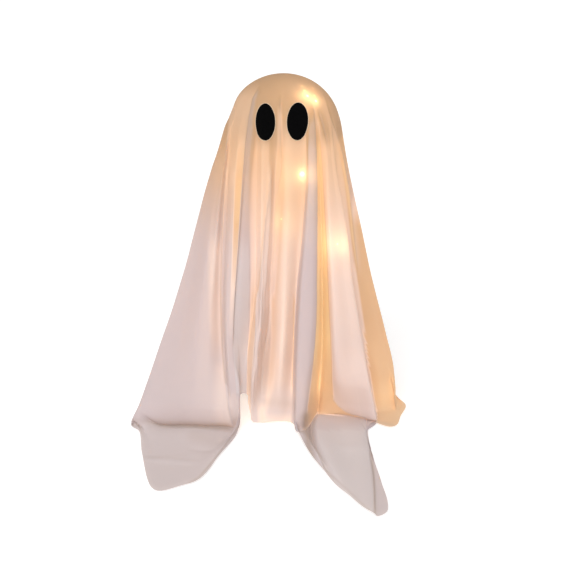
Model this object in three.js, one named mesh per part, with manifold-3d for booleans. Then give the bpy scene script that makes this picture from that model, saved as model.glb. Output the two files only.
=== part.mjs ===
// Light-up standing ghost: a square of white cloth draped over a rounded former on a
// weighted stand, lit from inside by a battery light string.
// Millimetres, +Z up, the front faces -Y, origin on the floor under the pole.
import * as THREE from 'three';
import { mergeVertices } from 'three/addons/utils/BufferGeometryUtils.js';
import Module from 'manifold-3d';

const wasm = await Module();
wasm.setup();

// ---------- driving dimensions ----------
const GAP = 0.3;                 // gap between pieces that touch
const CLOTH_TOP = 456;           // top of the cloth above the floor
const EQUATOR_Z = 388;           // where the head is widest
const CLOTH_R = 72.5;            // cloth radius at the head's equator
const CLOTH_T = 1.2;             // thickness that the plain cloth solid is given
const FORMER_R = 64.5, FORMER_H = 60.5, FORMER_T = 1.6;
const POLE_R = 6, POLE_BORE = 5.1;
const BASE_R = 44, BASE_H = 17;
const CELL_R = 7.1, CELL_L = 49.4;
const CASE_W = 52, CASE_D = 20, CASE_Z0 = 34, CASE_Z1 = 112, CASE_WALL = 1.8;
const WIRE_R = 0.75, BEAD_R = 1.9;
const EYE_T = 0.8;

// Fold lines of the cloth, in order round the body from the left front corner.
// [name, height of the hem, [x, forward] at ten heights, floor flap [x, forward, z]]
const FOLDS = [
  ['sl', 4, [[-79.1,5.0],[-90.2,7.2],[-104.6,11.7],[-118.3,18.2],[-132.9,25.9],[-148.9,34.8],[-165.8,44.0],[-181.0,57.9],[-194.0,74.6],[-204.9,79.0]], [[-205,80,3],[-205,81,3],[-204.5,82,3],[-203.5,84,3]]],
  ['sa', 4, [[-78.3,9.0],[-88.8,12.2],[-102.3,16.8],[-115.1,22.5],[-128.8,29.4],[-143.6,37.2],[-158.9,46.7],[-172.9,62.6],[-189.9,78.6],[-196.0,83.0]], [[-194,88,3],[-193.5,92,3],[-193,98,3],[-192,101,3]]],
  ['pa', 4, [[-76.6,18.4],[-85.4,23.8],[-96.8,28.7],[-107.7,32.7],[-119.2,37.3],[-131.1,42.7],[-142.7,52.9],[-151.8,74.0],[-159.9,91.5],[-167.5,88.0]], [[-173,96,3],[-176,122,2.5],[-178,142,3],[-180,160,3]]],
  ['pb', 4, [[-74.0,26.0],[-80.3,36.2],[-88.7,44.0],[-96.8,49.3],[-104.9,54.4],[-112.6,59.3],[-119.2,68.1],[-124.1,81.7],[-128.0,94.5],[-131.1,91.0]], [[-137,100,4],[-146,150,3],[-152,198,3],[-157,243,3]]],
  ['pb2', 4, [[-73.3,27.6],[-79.0,38.2],[-86.5,46.3],[-93.9,51.7],[-101.1,56.6],[-107.7,61.1],[-113.0,69.4],[-116.5,82.6],[-119.1,95.4],[-121.1,91.9]], [[-127,100,5],[-134,152,3],[-140,200,3],[-147,250.5,3]]],
  ['pc', 4, [[-71.6,31.1],[-75.8,43.1],[-81.4,51.9],[-87.0,57.3],[-92.1,61.7],[-96.1,65.4],[-98.3,72.5],[-98.7,84.5],[-98.4,97.5],[-97.6,94.0]], [[-102,101,4],[-108,150,3],[-114,195,3],[-124,240,3]]],
  ['f1', 4, [[-69.8,33.1],[-72.2,41.7],[-75.6,48.3],[-79.2,51.9],[-81.9,55.1],[-82.9,57.9],[-81.5,64.7],[-78.1,82.5],[-74.3,100.5],[-70.5,97.0]], [[-77,109,6],[-84,140,5],[-93,178,6],[-103,226,3]]],
  ['f1r', 4, [[-56.7,51.1],[-60.1,58.4],[-64.1,65.6],[-68.0,71.6],[-71.7,77.2],[-73.8,82.7],[-72.8,88.0],[-70.2,92.3],[-66.3,95.4],[-62.3,97.3]], [[-66,108,9],[-68,124,10],[-74,146,10],[-81,170,4]]],
  ['f2', 6, [[-43.6,61.0],[-48.6,65.0],[-53.3,69.8],[-57.7,74.1],[-62.7,78.2],[-66.6,82.3],[-66.6,86.5],[-58.7,91.1],[-58.7,93.1],[-59.0,95.0]], [[-60,98,8],[-60,100,8],[-60,103,7],[-61,108,4]]],
  ['f2h', 26, [[-41.6,61.5],[-45.6,64.8],[-49.5,68.6],[-53.1,72.0],[-57.1,75.2],[-60.8,78.4],[-61.1,80.3],[-58.8,82.8],[-57.7,85.4],[-58.0,87.2]], null],
  ['f2g', 45, [[-40.2,61.8],[-43.6,64.6],[-46.9,67.8],[-50.0,70.6],[-53.3,73.3],[-56.7,75.8],[-58.1,77.1],[-56.9,77.4],[-57.1,78.9],[-57.2,79.6]], null],
  ['f3', 44, [[-32.3,63.7],[-33.3,64.5],[-34.3,65.2],[-34.9,65.4],[-35.8,65.5],[-38.2,65.3],[-43.1,67.6],[-48.4,72.9],[-48.7,75.9],[-49.0,77.3]], null],
  ['f3h', 33, [[-30.8,64.8],[-31.8,66.1],[-32.8,67.4],[-33.3,68.2],[-34.2,68.9],[-36.7,69.3],[-42.6,72.6],[-47.0,76.5],[-47.8,78.3],[-47.9,79.0]], null],
  ['f3q', 17, [[-28.5,66.3],[-29.5,68.6],[-30.5,70.8],[-31.0,72.6],[-31.7,74.3],[-34.4,75.7],[-41.8,79.2],[-44.9,80.8],[-45.5,80.3],[-45.0,79.4]], null],
  ['f3r', 4, [[-24.8,69.0],[-25.7,72.7],[-26.7,76.5],[-27.0,80.1],[-27.4,83.6],[-29.8,86.8],[-36.1,89.7],[-40.9,91.1],[-42.4,81.5],[-42.5,78.0]], null],
  ['f5', 3, [[-3.9,69.9],[-6.8,69.1],[-9.0,68.2],[-12.4,67.2],[-16.5,66.3],[-17.9,65.9],[-23.6,64.4],[-28.2,64.0],[-30.2,72.5],[-29.6,80.0]], null],
  ['cp', 4, [[5.8,72.1],[5.8,74.6],[5.2,77.4],[2.7,80.5],[0.9,83.6],[-0.5,86.6],[-3.1,89.1],[-5.5,83.6],[-6.3,79.6],[-6.4,77.0]], null],
  ['g11', 3, [[25.8,66.1],[25.8,67.1],[23.8,68.5],[20.4,70.0],[17.1,70.8],[14.6,71.4],[12.7,71.7],[11.4,72.6],[10.4,77.5],[10.0,80.0]], null],
  ['r1l', 4, [[32.7,65.3],[32.7,70.0],[30.8,75.5],[27.3,81.3],[23.4,86.3],[20.6,90.8],[18.7,94.7],[17.4,98.1],[16.6,100.7],[16.3,102.4]], [[18,114,10],[21,124,9],[25,138,7],[31,155,3.5]]],
  ['r1r', 4, [[37.2,63.1],[37.9,68.0],[38.3,73.3],[38.6,79.0],[38.0,84.1],[36.4,89.2],[33.6,93.6],[29.5,97.4],[26.9,100.2],[25.4,102.0]], [[28,124,13],[34,148,12],[42,172,10],[49,203,4]]],
  ['v2', 4, [[44.4,55.6],[46.0,54.0],[47.1,52.6],[49.0,50.8],[50.5,48.0],[51.4,45.4],[51.6,44.8],[50.1,46.4],[48.3,48.3],[47.0,49.6]], [[39,78,2.5],[36,108,2.2],[40,150,2.5],[64,238,3]]],
  ['v2b', 4, [[46.7,54.4],[48.5,54.7],[50.0,55.5],[52.1,55.9],[54.2,55.3],[55.8,54.9],[56.6,55.5],[56.0,55.6],[52.7,54.3],[49.0,55.0]], [[47,70,10],[43,104,12],[47,148,11],[78,263,4]]],
  ['p3l', 4, [[51.9,51.7],[54.2,56.5],[56.6,62.1],[59.5,67.8],[62.8,72.2],[65.9,76.8],[68.3,80.6],[71.1,77.1],[75.9,68.1],[79.1,62.0]], [[76,88,6],[77,140,6],[82,200,6],[92,287,4]]],
  ['p3m', 4, [[56.3,47.2],[59.8,51.7],[65.8,55.3],[71.4,60.8],[75.9,65.5],[82.1,69.9],[87.3,73.9],[92.6,81.5],[98.4,76.4],[101.9,72.0]], [[108,100,5],[108,150,7],[108,215,7],[104,303,5]]],
  ['p3n', 4, [[56.9,46.5],[60.6,50.8],[67.3,54.0],[73.3,59.3],[78.0,64.3],[84.6,68.6],[90.3,72.7],[96.0,82.2],[102.0,77.4],[105.5,73.3]], [[111,100,3.5],[111.5,150,3.5],[111,215,3],[106.5,304,2.5]]],
  ['p3r', 4, [[59.7,43.2],[65.1,46.4],[75.0,47.0],[83.3,51.9],[89.1,57.6],[98.0,61.9],[106.1,66.2],[113.6,85.7],[120.5,82.6],[124.6,80.0]], [[113,106,3],[114,150,3],[116,215,3],[119,295,2.5]]],
  ['p3x', 4, [[62.2,38.6],[66.1,39.7],[73.8,39.7],[80.8,43.1],[85.5,47.4],[92.7,51.2],[99.5,54.6],[104.8,65.6],[112.6,61.5],[117.0,58.0]], [[114,100,3],[114,130,3],[115,170,3],[118,224,2.5]]],
  ['p3y', 4, [[64.7,33.8],[67.2,32.6],[72.5,32.0],[78.1,33.6],[81.7,36.5],[87.0,39.8],[92.5,42.2],[99.0,44.2],[108.9,46.8],[115.0,52.0]], [[114,84,3],[113,100,3],[112.5,125,3],[112.5,152,2.5]]],
  ['v4', 4, [[67.8,28.0],[68.5,24.1],[70.9,22.8],[75.0,22.4],[77.1,23.6],[80.3,26.3],[84.5,27.9],[99.0,34.4],[109.1,39.3],[117.0,48.0]], [[117,56,3],[118,64,3],[119,71,3],[119,79,2.5]]],
  ['v4b', 4, [[70.8,16.3],[74.3,14.3],[79.9,14.1],[87.3,14.7],[93.1,16.4],[100.4,19.1],[108.2,21.4],[128.5,34.4],[133.5,39.0],[137.0,46.0]], [[138,56,3],[139,68,3],[140,80,2.5],[141,91,2.5]]],
  ['v4c', 4, [[73.2,6.7],[79.0,6.3],[87.2,7.0],[97.4,8.5],[106.1,10.5],[116.7,13.3],[127.1,15.9],[141.8,24.3],[149.8,27.8],[155.0,33.0]], [[155,44,3],[155,58,3],[154,72,2.5],[151,86,2.5]]],
  ['v4d', 4, [[74.0,3.4],[80.7,3.5],[89.7,4.6],[100.9,6.2],[110.7,8.5],[122.5,11.2],[133.8,13.9],[146.6,21.5],[152.2,31.4],[156.2,35.2]], [[159.3,34.5,3],[159.7,43.5,3],[159.5,52.4,3],[159.2,61.2,3]]],
  ['sr', 3, [[74.9,0.0],[82.4,0.7],[92.4,2.1],[104.5,4.1],[115.4,6.4],[128.4,9.2],[140.7,12.1],[151.6,17.4],[155.7,21.1],[157.8,19.8]], [[162.0,14.5,3],[164.3,19.6,4],[167.4,22.7,4],[169.8,24.7,3]]],
  ['srb', 6, [[74.5,-1.5],[81.1,-0.9],[90.0,0.3],[100.8,2.1],[110.5,4.2],[122.2,6.6],[133.2,9.0],[144.7,13.2],[149.1,8.5],[153.4,7.3]], null],
  ['b1', 24, [[71.0,-15.1],[70.4,-15.1],[69.9,-15.2],[69.5,-15.4],[69.6,-15.6],[70.1,-15.9],[70.8,-16.2],[71.8,-16.6],[72.7,-16.9],[73.4,-17.2]], null],
  ['b2', 9, [[66.8,-28.4],[77.2,-33.1],[86.3,-37.4],[95.3,-41.6],[103.7,-45.7],[111.9,-49.5],[119.1,-53.0],[125.6,-56.1],[130.5,-58.5],[134.2,-60.3]], null],
  ['b3', 28, [[60.2,-40.6],[58.2,-39.8],[56.4,-39.2],[55.9,-39.6],[55.6,-40.1],[55.2,-40.6],[54.8,-41.0],[54.5,-41.5],[54.3,-41.8],[54.1,-42.0]], null],
  ['b4', 12, [[51.3,-51.3],[59.7,-60.5],[66.9,-68.7],[74.1,-76.9],[80.8,-84.6],[87.3,-92.1],[93.1,-98.8],[98.2,-104.8],[102.2,-109.4],[105.1,-112.9]], null],
  ['b5', 32, [[39.5,-60.9],[37.9,-59.6],[36.3,-58.4],[35.4,-58.7],[34.6,-59.1],[33.9,-59.5],[33.2,-59.9],[32.5,-60.3],[32.0,-60.6],[31.6,-60.8]], null],
  ['b6', 14, [[26.0,-67.8],[29.9,-80.1],[33.2,-91.1],[36.4,-102.1],[39.4,-112.5],[42.3,-122.6],[44.8,-131.6],[47.1,-139.7],[48.8,-145.8],[50.0,-150.4]], null],
  ['b7', 34, [[11.4,-71.7],[10.3,-70.2],[9.2,-68.7],[8.1,-68.1],[7.1,-68.1],[6.2,-68.2],[5.3,-68.3],[4.4,-68.4],[3.8,-68.4],[3.3,-68.4]], null],
  ['b8', 14, [[-3.8,-72.5],[-5.4,-86.0],[-6.9,-98.0],[-8.5,-110.0],[-10.1,-121.4],[-11.7,-132.4],[-13.2,-142.2],[-14.5,-151.1],[-15.5,-157.8],[-16.2,-162.9]], null],
  ['b9', 30, [[-18.8,-70.1],[-19.2,-68.7],[-19.7,-67.2],[-20.3,-65.9],[-21.1,-65.2],[-22.0,-65.0],[-22.9,-65.0],[-23.7,-65.0],[-24.3,-65.0],[-24.8,-65.0]], null],
  ['b10', 8, [[-31.8,-65.3],[-38.7,-77.6],[-45.0,-88.5],[-51.3,-99.5],[-57.4,-109.9],[-63.3,-119.9],[-68.7,-128.9],[-73.5,-137.0],[-77.1,-143.1],[-79.9,-147.7]], null],
  ['b11', 4, [[-42.7,-58.7],[-43.7,-58.9],[-44.9,-59.2],[-46.3,-59.8],[-48.0,-60.8],[-50.0,-62.1],[-52.1,-63.7],[-54.2,-65.3],[-55.9,-66.7],[-57.0,-67.6]], [[-62,-84,6],[-74,-100,5],[-87,-114,4],[-101,-128,3]]],
  ['b12', 4, [[-53.1,-49.5],[-64.1,-58.9],[-74.0,-67.3],[-84.1,-75.7],[-93.6,-83.7],[-102.9,-91.4],[-111.2,-98.2],[-118.7,-104.4],[-124.4,-109.1],[-128.0,-112.1]], [[-122,-128,6],[-131,-141,4],[-142,-154,4],[-153,-168,3]]],
  ['b13', 4, [[-62.2,-37.4],[-73.9,-43.9],[-84.5,-49.7],[-95.2,-55.5],[-105.4,-61.0],[-115.2,-66.3],[-124.1,-71.0],[-132.0,-75.3],[-138.1,-78.5],[-142.0,-80.6]], [[-143,-96,5],[-149,-104,4],[-153,-116,4],[-157,-130,3]]],
  ['b14', 20, [[-68.6,-23.6],[-68.3,-23.2],[-68.1,-22.8],[-68.1,-22.5],[-68.4,-22.3],[-69.2,-22.2],[-70.3,-22.3],[-71.5,-22.4],[-72.6,-22.5],[-73.4,-22.7]], null],
  ['b15', 5, [[-72.2,-7.6],[-86.8,-9.0],[-100.0,-10.3],[-113.2,-11.6],[-125.8,-12.8],[-138.0,-14.0],[-148.9,-15.0],[-158.8,-16.0],[-166.3,-16.7],[-171.3,-17.2]], null],
  ['b16', 14, [[-72.2,7.6],[-75.6,7.9],[-79.4,8.2],[-83.9,8.5],[-88.7,8.9],[-94.0,9.4],[-99.3,9.8],[-104.4,10.3],[-108.4,10.6],[-111.6,10.9]], null],
  ['slb', 6, [[-78.4,5.3],[-88.7,7.3],[-102.0,11.3],[-114.7,17.1],[-128.3,24.1],[-143.1,32.1],[-158.8,40.2],[-172.8,52.3],[-184.7,67.9],[-195.7,72.2]], null],
];

const BODY_S = [0, 0.11, 0.23, 0.36, 0.49, 0.62, 0.74, 0.85, 0.935, 1];
const DOME_LAT = [75, 60, 45, 30, 15];

// ---------- helpers ----------
function bare(geometry) {
  let g = geometry.index ? geometry.toNonIndexed() : geometry.clone();
  for (const k of Object.keys(g.attributes)) if (k !== 'position') g.deleteAttribute(k);
  g = mergeVertices(g, 1e-4);
  // faces point outwards whichever way the profile was drawn
  const p = g.attributes.position, ix = g.index.array;
  const a = new THREE.Vector3(), b = new THREE.Vector3(), c = new THREE.Vector3();
  let vol = 0;
  for (let i = 0; i < ix.length; i += 3) {
    a.fromBufferAttribute(p, ix[i]); b.fromBufferAttribute(p, ix[i + 1]); c.fromBufferAttribute(p, ix[i + 2]);
    vol += a.dot(b.cross(c));
  }
  if (vol < 0) for (let i = 0; i < ix.length; i += 3) { const t = ix[i]; ix[i] = ix[i + 1]; ix[i + 1] = t; }
  return g;
}
function solid(geometry) {
  const g = bare(geometry);
  return new wasm.Manifold(new wasm.Mesh({
    numProp: 3,
    vertProperties: new Float32Array(g.attributes.position.array),
    triVerts: new Uint32Array(g.index.array),
  }));
}
function geo(man) {
  const m = man.getMesh();
  const g = new THREE.BufferGeometry();
  const n = m.numProp, v = m.vertProperties, p = new Float32Array((v.length / n) * 3);
  for (let i = 0; i < v.length / n; i++) for (let k = 0; k < 3; k++) p[3 * i + k] = v[n * i + k];
  g.setAttribute('position', new THREE.BufferAttribute(p, 3));
  g.setIndex(Array.from(m.triVerts));
  return g;
}
function at(g, x = 0, y = 0, z = 0, rx = 0, ry = 0, rz = 0) {
  g.applyMatrix4(new THREE.Matrix4().makeRotationFromEuler(new THREE.Euler(rx, ry, rz, 'ZYX')));
  g.translate(x, y, z);
  return g;
}
// solid of revolution about Z from [r, z] points that start and end on the axis or close
function lathe(points, seg = 32) {
  const g = new THREE.LatheGeometry(points.map(([r, z]) => new THREE.Vector2(r, z)), seg);
  return g.rotateX(Math.PI / 2);
}
const ring = (r0, r1, z0, z1, seg = 32) => lathe([[r0, z0], [r1, z0], [r1, z1], [r0, z1], [r0, z0]], seg);
const disc = (r, z0, z1, seg = 32) => lathe([[0, z0], [r, z0], [r, z1], [0, z1]], seg);
const box = (x0, x1, y0, y1, z0, z1) =>
  at(new THREE.BoxGeometry(x1 - x0, y1 - y0, z1 - z0), (x0 + x1) / 2, (y0 + y1) / 2, (z0 + z1) / 2);
function tube(curve, r, sides, steps) {
  const s = new THREE.Shape();
  for (let i = 0; i < sides; i++) {
    const a = (2 * Math.PI * i) / sides;
    if (i === 0) s.moveTo(r, 0); else s.lineTo(r * Math.cos(a), r * Math.sin(a));
  }
  s.closePath();
  return new THREE.ExtrudeGeometry(s, { steps, bevelEnabled: false, extrudePath: curve, curveSegments: 1 });
}
const V = (x, y, z) => new THREE.Vector3(x, y, z);
const join = (a, ...rest) => geo(rest.reduce((m, g) => m.add(solid(g)), solid(a)));
const cut = (a, ...rest) => geo(rest.reduce((m, g) => m.subtract(solid(g)), solid(a)));

const group = new THREE.Group();
function part(name, geometry, color, roughness = 0.5, metalness = 0) {
  const g = bare(geometry);
  g.computeVertexNormals();
  const mesh = new THREE.Mesh(g, new THREE.MeshStandardMaterial({ color, roughness, metalness }));
  mesh.name = name;
  group.add(mesh);
  return mesh;
}

// ---------- cloth ----------
// Middle surface: rows run from the crown down each fold line and out along the floor.
function clothRows() {
  return FOLDS.map(([name, hem, body, flap]) => {
    const col = [];
    const [x0, f0] = body[0];
    for (const lat of DOME_LAT) {
      const c = Math.cos((lat * Math.PI) / 180), s = Math.sin((lat * Math.PI) / 180);
      const r = Math.hypot(x0, f0), rr = CLOTH_R * c + (r - CLOTH_R) * c ** 40;
      col.push(V((x0 / r) * rr, (-f0 / r) * rr, EQUATOR_Z + (CLOTH_TOP - CLOTH_T / 2 - EQUATOR_Z) * s));
    }
    body.forEach(([x, f], i) => col.push(V(x, -f, EQUATOR_Z - (EQUATOR_Z - hem) * BODY_S[i])));
    const [xe, fe] = body[body.length - 1];
    for (let k = 1; k <= 4; k++) {
      if (flap) col.push(V(flap[k - 1][0], -flap[k - 1][1], flap[k - 1][2]));
      else col.push(V(xe, -fe, hem - 0.45 * k));
    }
    return col;
  });
}
function clothSolid() {
  const cols = clothRows(), nc = cols.length, nr = cols[0].length;
  const crown = V(0, 0, CLOTH_TOP - CLOTH_T / 2);
  const normal = [];
  for (let j = 0; j < nc; j++) {
    normal.push([]);
    for (let i = 0; i < nr; i++) {
      const L = cols[(j + nc - 1) % nc][i], R = cols[(j + 1) % nc][i];
      const U = i ? cols[j][i - 1] : crown, D = i + 1 < nr ? cols[j][i + 1] : cols[j][i];
      const n = new THREE.Vector3().crossVectors(D.clone().sub(U), R.clone().sub(L)).normalize();
      // a hem that ends above the floor keeps the normal of the body above it
      if (!FOLDS[j][3] && i > nr - 6) n.copy(normal[j][nr - 6]);
      normal[j].push(n);
    }
  }
  const pos = [], idx = [];
  const push = (v) => { pos.push(v.x, v.y, v.z); return pos.length / 3 - 1; };
  const layer = (sign) => {
    const top = push(crown.clone().add(V(0, 0, (sign * CLOTH_T) / 2)));
    const id = cols.map((c, j) => c.map((v, i) => {
      const q = v.clone().addScaledVector(normal[j][i], (sign * CLOTH_T) / 2);
      return push(q);
    }));
    return { top, id };
  };
  const o = layer(1), n = layer(-1);
  for (let j = 0; j < nc; j++) {
    const k = (j + 1) % nc;
    idx.push(o.top, o.id[j][0], o.id[k][0], n.top, n.id[k][0], n.id[j][0]);
    for (let i = 0; i + 1 < nr; i++) {
      idx.push(o.id[j][i], o.id[j][i + 1], o.id[k][i + 1], o.id[j][i], o.id[k][i + 1], o.id[k][i]);
      idx.push(n.id[j][i], n.id[k][i + 1], n.id[j][i + 1], n.id[j][i], n.id[k][i], n.id[k][i + 1]);
    }
    const e = nr - 1;
    idx.push(o.id[j][e], n.id[j][e], n.id[k][e], o.id[j][e], n.id[k][e], o.id[k][e]);
  }
  const g = new THREE.BufferGeometry();
  g.setAttribute('position', new THREE.BufferAttribute(new Float32Array(pos), 3));
  g.setIndex(idx);
  return g;
}
part('cloth', clothSolid(), 0xe9ddd6, 0.9);

// ---------- eyes: thin ovals that follow the front of the head ----------
const VIEW_PITCH = (20.3 * Math.PI) / 180;
function eye(cx, cz, w, h, tilt) {
  const shell = (r, hh) => {
    const g = new THREE.SphereGeometry(1, 56, 36);
    g.rotateX(Math.PI / 2);
    g.scale(r, r, hh);
    return g.translate(0, 0, EQUATOR_Z);
  };
  const outer = solid(shell(CLOTH_R + 2.5 + EYE_T, CLOTH_TOP - EQUATOR_Z + 1.6 + EYE_T));
  const inner = solid(shell(CLOTH_R + 2.5, CLOTH_TOP - EQUATOR_Z + 1.6));
  const s = new THREE.Shape();
  s.absellipse(0, 0, w / 2, h / 2, 0, 2 * Math.PI, false, tilt);
  const g = new THREE.ExtrudeGeometry(s, { depth: 90, bevelEnabled: false, curveSegments: 12 });
  g.rotateX(Math.PI / 2);                       // oval in X-Z, extruded towards the front
  g.translate(0, -8, 0);
  g.rotateX(VIEW_PITCH * -1);
  g.translate(cx, 0, cz);
  return geo(outer.subtract(inner).intersect(solid(g)));
}
part('eye_left', eye(-21.6, 382.6, 23.9, 45.4, 0), 0x0b0b0c, 0.7);
part('eye_right', eye(17.6, 383.4, 25.6, 45.8, -0.05), 0x0b0b0c, 0.7);

// ---------- stand: weighted base ----------
const plateZ0 = 2.2, plateZ1 = 4.2;
const screwAt = [90, 210, 330].map((d) => [33 * Math.cos((d * Math.PI) / 180), 33 * Math.sin((d * Math.PI) / 180)]);
let shell = solid(lathe([
  [POLE_R + GAP, 14.8], [POLE_R + GAP, 38], [9.4, 38], [10.4, 37], [10.8, 21.5], [13, BASE_H + 1.4], [BASE_R - 5, BASE_H],
  [BASE_R - 1.4, BASE_H - 1.6], [BASE_R, BASE_H - 5], [BASE_R, plateZ0], [BASE_R - 2, plateZ0], [BASE_R - 2, BASE_H - 5.4],
  [BASE_R - 4.2, BASE_H - 2], [12, 14.8], [POLE_R + GAP, 14.8]], 24));
for (const [x, y] of screwAt) shell = shell.add(solid(at(disc(3.2, plateZ1 + GAP, 15.4, 12), x, y)));
for (const [x, y] of screwAt) shell = shell.subtract(solid(at(disc(1.3, plateZ1 - 1, 12, 10), x, y)));
part('base_shell', geo(shell), 0xf2f0ea, 0.45);
let weight = solid(ring(9, 38.5, plateZ1 + 0.6, 13.6, 28));
for (const [x, y] of screwAt) weight = weight.subtract(solid(at(disc(4, 0, 20, 12), x, y)));
part('base_weight', geo(weight), 0x6d6a66, 0.5, 0.8);
let plate = solid(disc(BASE_R - 2.4, plateZ0, plateZ1, 30));
for (const [x, y] of screwAt) plate = plate.subtract(solid(at(disc(1.9, 0, 8, 12), x, y)));
part('base_plate', geo(plate), 0xe6e3dc, 0.5);
screwAt.forEach(([x, y], i) => {
  const s = cut(lathe([[0, 0.9], [3, 0.9], [3, plateZ0 - GAP], [1.1, plateZ0 - GAP], [1.1, 11], [0, 11.6]], 16),
    box(-2, 2, -0.3, 0.3, 0, 1.5), box(-0.3, 0.3, -2, 2, 0, 1.5));
  part(`base_screw_${i + 1}`, at(s, x, y), 0xb5b6b8, 0.35, 0.9);
});
part('base_pad', lathe([[0, 0], [27, 0], [28, 0.5], [28, plateZ0 - GAP], [0, plateZ0 - GAP]], 28), 0x2b2b2c, 0.9);

// ---------- stand: two-piece pole ----------
const POLE_Z = [15, 214], POLE2_Z = [214.6, 399];
const poleTube = (z0, z1) => lathe([[POLE_BORE, z0], [POLE_R - 0.4, z0], [POLE_R, z0 + 0.6], [POLE_R, z1 - 0.6],
  [POLE_R - 0.4, z1], [POLE_BORE, z1], [POLE_BORE, z0]], 16);
part('pole_lower', poleTube(15.2, POLE_Z[1]), 0xf4f3ef, 0.35);
part('pole_upper', poleTube(POLE2_Z[0], POLE2_Z[1]), 0xf4f3ef, 0.35);
part('pole_coupler', lathe([[POLE_R + GAP, 196], [7.8, 196], [8.4, 197], [8.4, 207], [8.9, 208], [8.9, 220], [8.4, 221],
  [8.4, 231], [7.8, 232], [POLE_R + GAP, 232], [POLE_R + GAP, 196]], 16), 0xdedbd3, 0.45);

// ---------- head former and the spider that carries it ----------
const formerPts = [];
for (let k = 0; k <= 7; k++) {
  const a = (k / 7) * (Math.PI / 2);
  formerPts.push([FORMER_R * Math.cos(a), EQUATOR_Z + FORMER_H * Math.sin(a)]);
}
const formerIn = [];
for (let k = 7; k >= 0; k--) {
  const a = (k / 7) * (Math.PI / 2);
  formerIn.push([(FORMER_R - FORMER_T) * Math.cos(a), EQUATOR_Z + (FORMER_H - FORMER_T) * Math.sin(a)]);
}
formerPts[7][0] = 0; formerIn[0][0] = 0;
const rimZ = EQUATOR_Z - 12;
const former = solid(lathe([...formerPts.reverse(), [FORMER_R, rimZ], [FORMER_R - FORMER_T, rimZ], ...formerIn.reverse()].reverse(), 24));
part('head_former', geo(former), 0xf7f4ee, 0.4);
const spR = FORMER_R - FORMER_T - GAP - 0.5;
let spider = solid(ring(spR - 3, spR, rimZ + 0.5, rimZ + 7, 24));
for (const d of [90, 210, 330]) {
  const arm = box(9, spR - 1.5, -2, 2, rimZ + 0.5, rimZ + 5);
  spider = spider.add(solid(at(arm, 0, 0, 0, 0, 0, (d * Math.PI) / 180)));
}
spider = spider.add(solid(disc(10, rimZ - 6, rimZ + 27, 16)));
spider = spider.subtract(solid(disc(POLE_R + GAP, rimZ - 10, POLE2_Z[1] + GAP, 16)));
spider = spider.subtract(solid(at(disc(1.35, 0, 14, 10), 0, 0, rimZ - 3, -Math.PI / 2)));
part('head_spider', geo(spider), 0xe9e6df, 0.5);
part('head_screw', at(lathe([[0, 0], [1.0, 0], [1.0, 4.3], [2.8, 4.3], [2.8, 5.9], [0, 6.3]], 12), 0, POLE_R + GAP + 0.1, rimZ - 3, -Math.PI / 2),
  0xb5b6b8, 0.35, 0.9);

// ---------- battery box, clipped to the back of the lower pole ----------
const cy0 = 10.5, cy1 = cy0 + CASE_D;              // front wall and open back
const hw = CASE_W / 2, divZ = CASE_Z1 - 15;        // divider between cells and switch
let casing = solid(box(-hw, hw, cy0, cy1 - 2, CASE_Z0, CASE_Z1));
casing = casing.subtract(solid(box(-hw + CASE_WALL, hw - CASE_WALL, cy0 + CASE_WALL, cy1 + 5, CASE_Z0 + CASE_WALL, divZ - 0.9)));
casing = casing.subtract(solid(box(-hw + CASE_WALL, hw - CASE_WALL, cy0 + CASE_WALL, cy1 + 5, divZ + 0.9, CASE_Z1 - CASE_WALL)));
casing = casing.subtract(solid(box(-7.5, 7.5, cy0 + 5.5, cy0 + 9.5, CASE_Z1 - 5, CASE_Z1 + 5)));   // switch slot
casing = casing.subtract(solid(at(disc(2.1, -5, 5, 12), hw, cy0 + 8, CASE_Z1 - 7.5, 0, Math.PI / 2)));  // string outlet
for (const x of [-8, 8]) casing = casing.add(solid(box(x - 0.6, x + 0.6, cy0 + 1, cy0 + 6.5, CASE_Z0 + 1, divZ - 0.5)));  // cell ribs
part('battery_case', geo(casing), 0xf1efe9, 0.5);
// cover: a plate that slides up in the open back, with a finger ridge and a side lip each side
let cover = solid(box(-hw - 1.8, hw + 1.8, cy1 - 2 + GAP, cy1 - 0.1, CASE_Z0 + 0.6, CASE_Z1 - 0.6));
for (const s of [-1, 1]) cover = cover.add(solid(s > 0
  ? box(hw + GAP, hw + 1.8, cy1 - 8, cy1 - 1, CASE_Z0 + 0.6, CASE_Z1 - 14)
  : box(-hw - 1.8, -hw - GAP, cy1 - 8, cy1 - 1, CASE_Z0 + 0.6, CASE_Z1 - 14)));
for (let k = 0; k < 4; k++) cover = cover.add(solid(box(-9, 9, cy1 - 0.5, cy1 + 0.7, CASE_Z1 - 14 + 3 * k, CASE_Z1 - 12.8 + 3 * k)));
part('battery_cover', geo(cover), 0xeceae3, 0.5);
const cellX = [-15.9, 0, 15.9], cellY = cy0 + CASE_WALL + CELL_R + 0.5, cellZ0 = CASE_Z0 + CASE_WALL + 4.6;
cellX.forEach((x, i) => {
  const g = lathe([[0, 0], [CELL_R - 1, 0], [CELL_R, 0.6], [CELL_R, CELL_L - 0.8], [CELL_R - 0.8, CELL_L],
    [2.8, CELL_L], [2.8, CELL_L + 1.1], [0, CELL_L + 1.1]], 14);
  if (i === 1) g.rotateX(Math.PI).translate(0, 0, CELL_L + 1.1);
  part(`cell_${i + 1}`, at(g, x, cellY, cellZ0), [0xc9a24b, 0x8f9296, 0xc9a24b][i], 0.35, 0.6);
});
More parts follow.
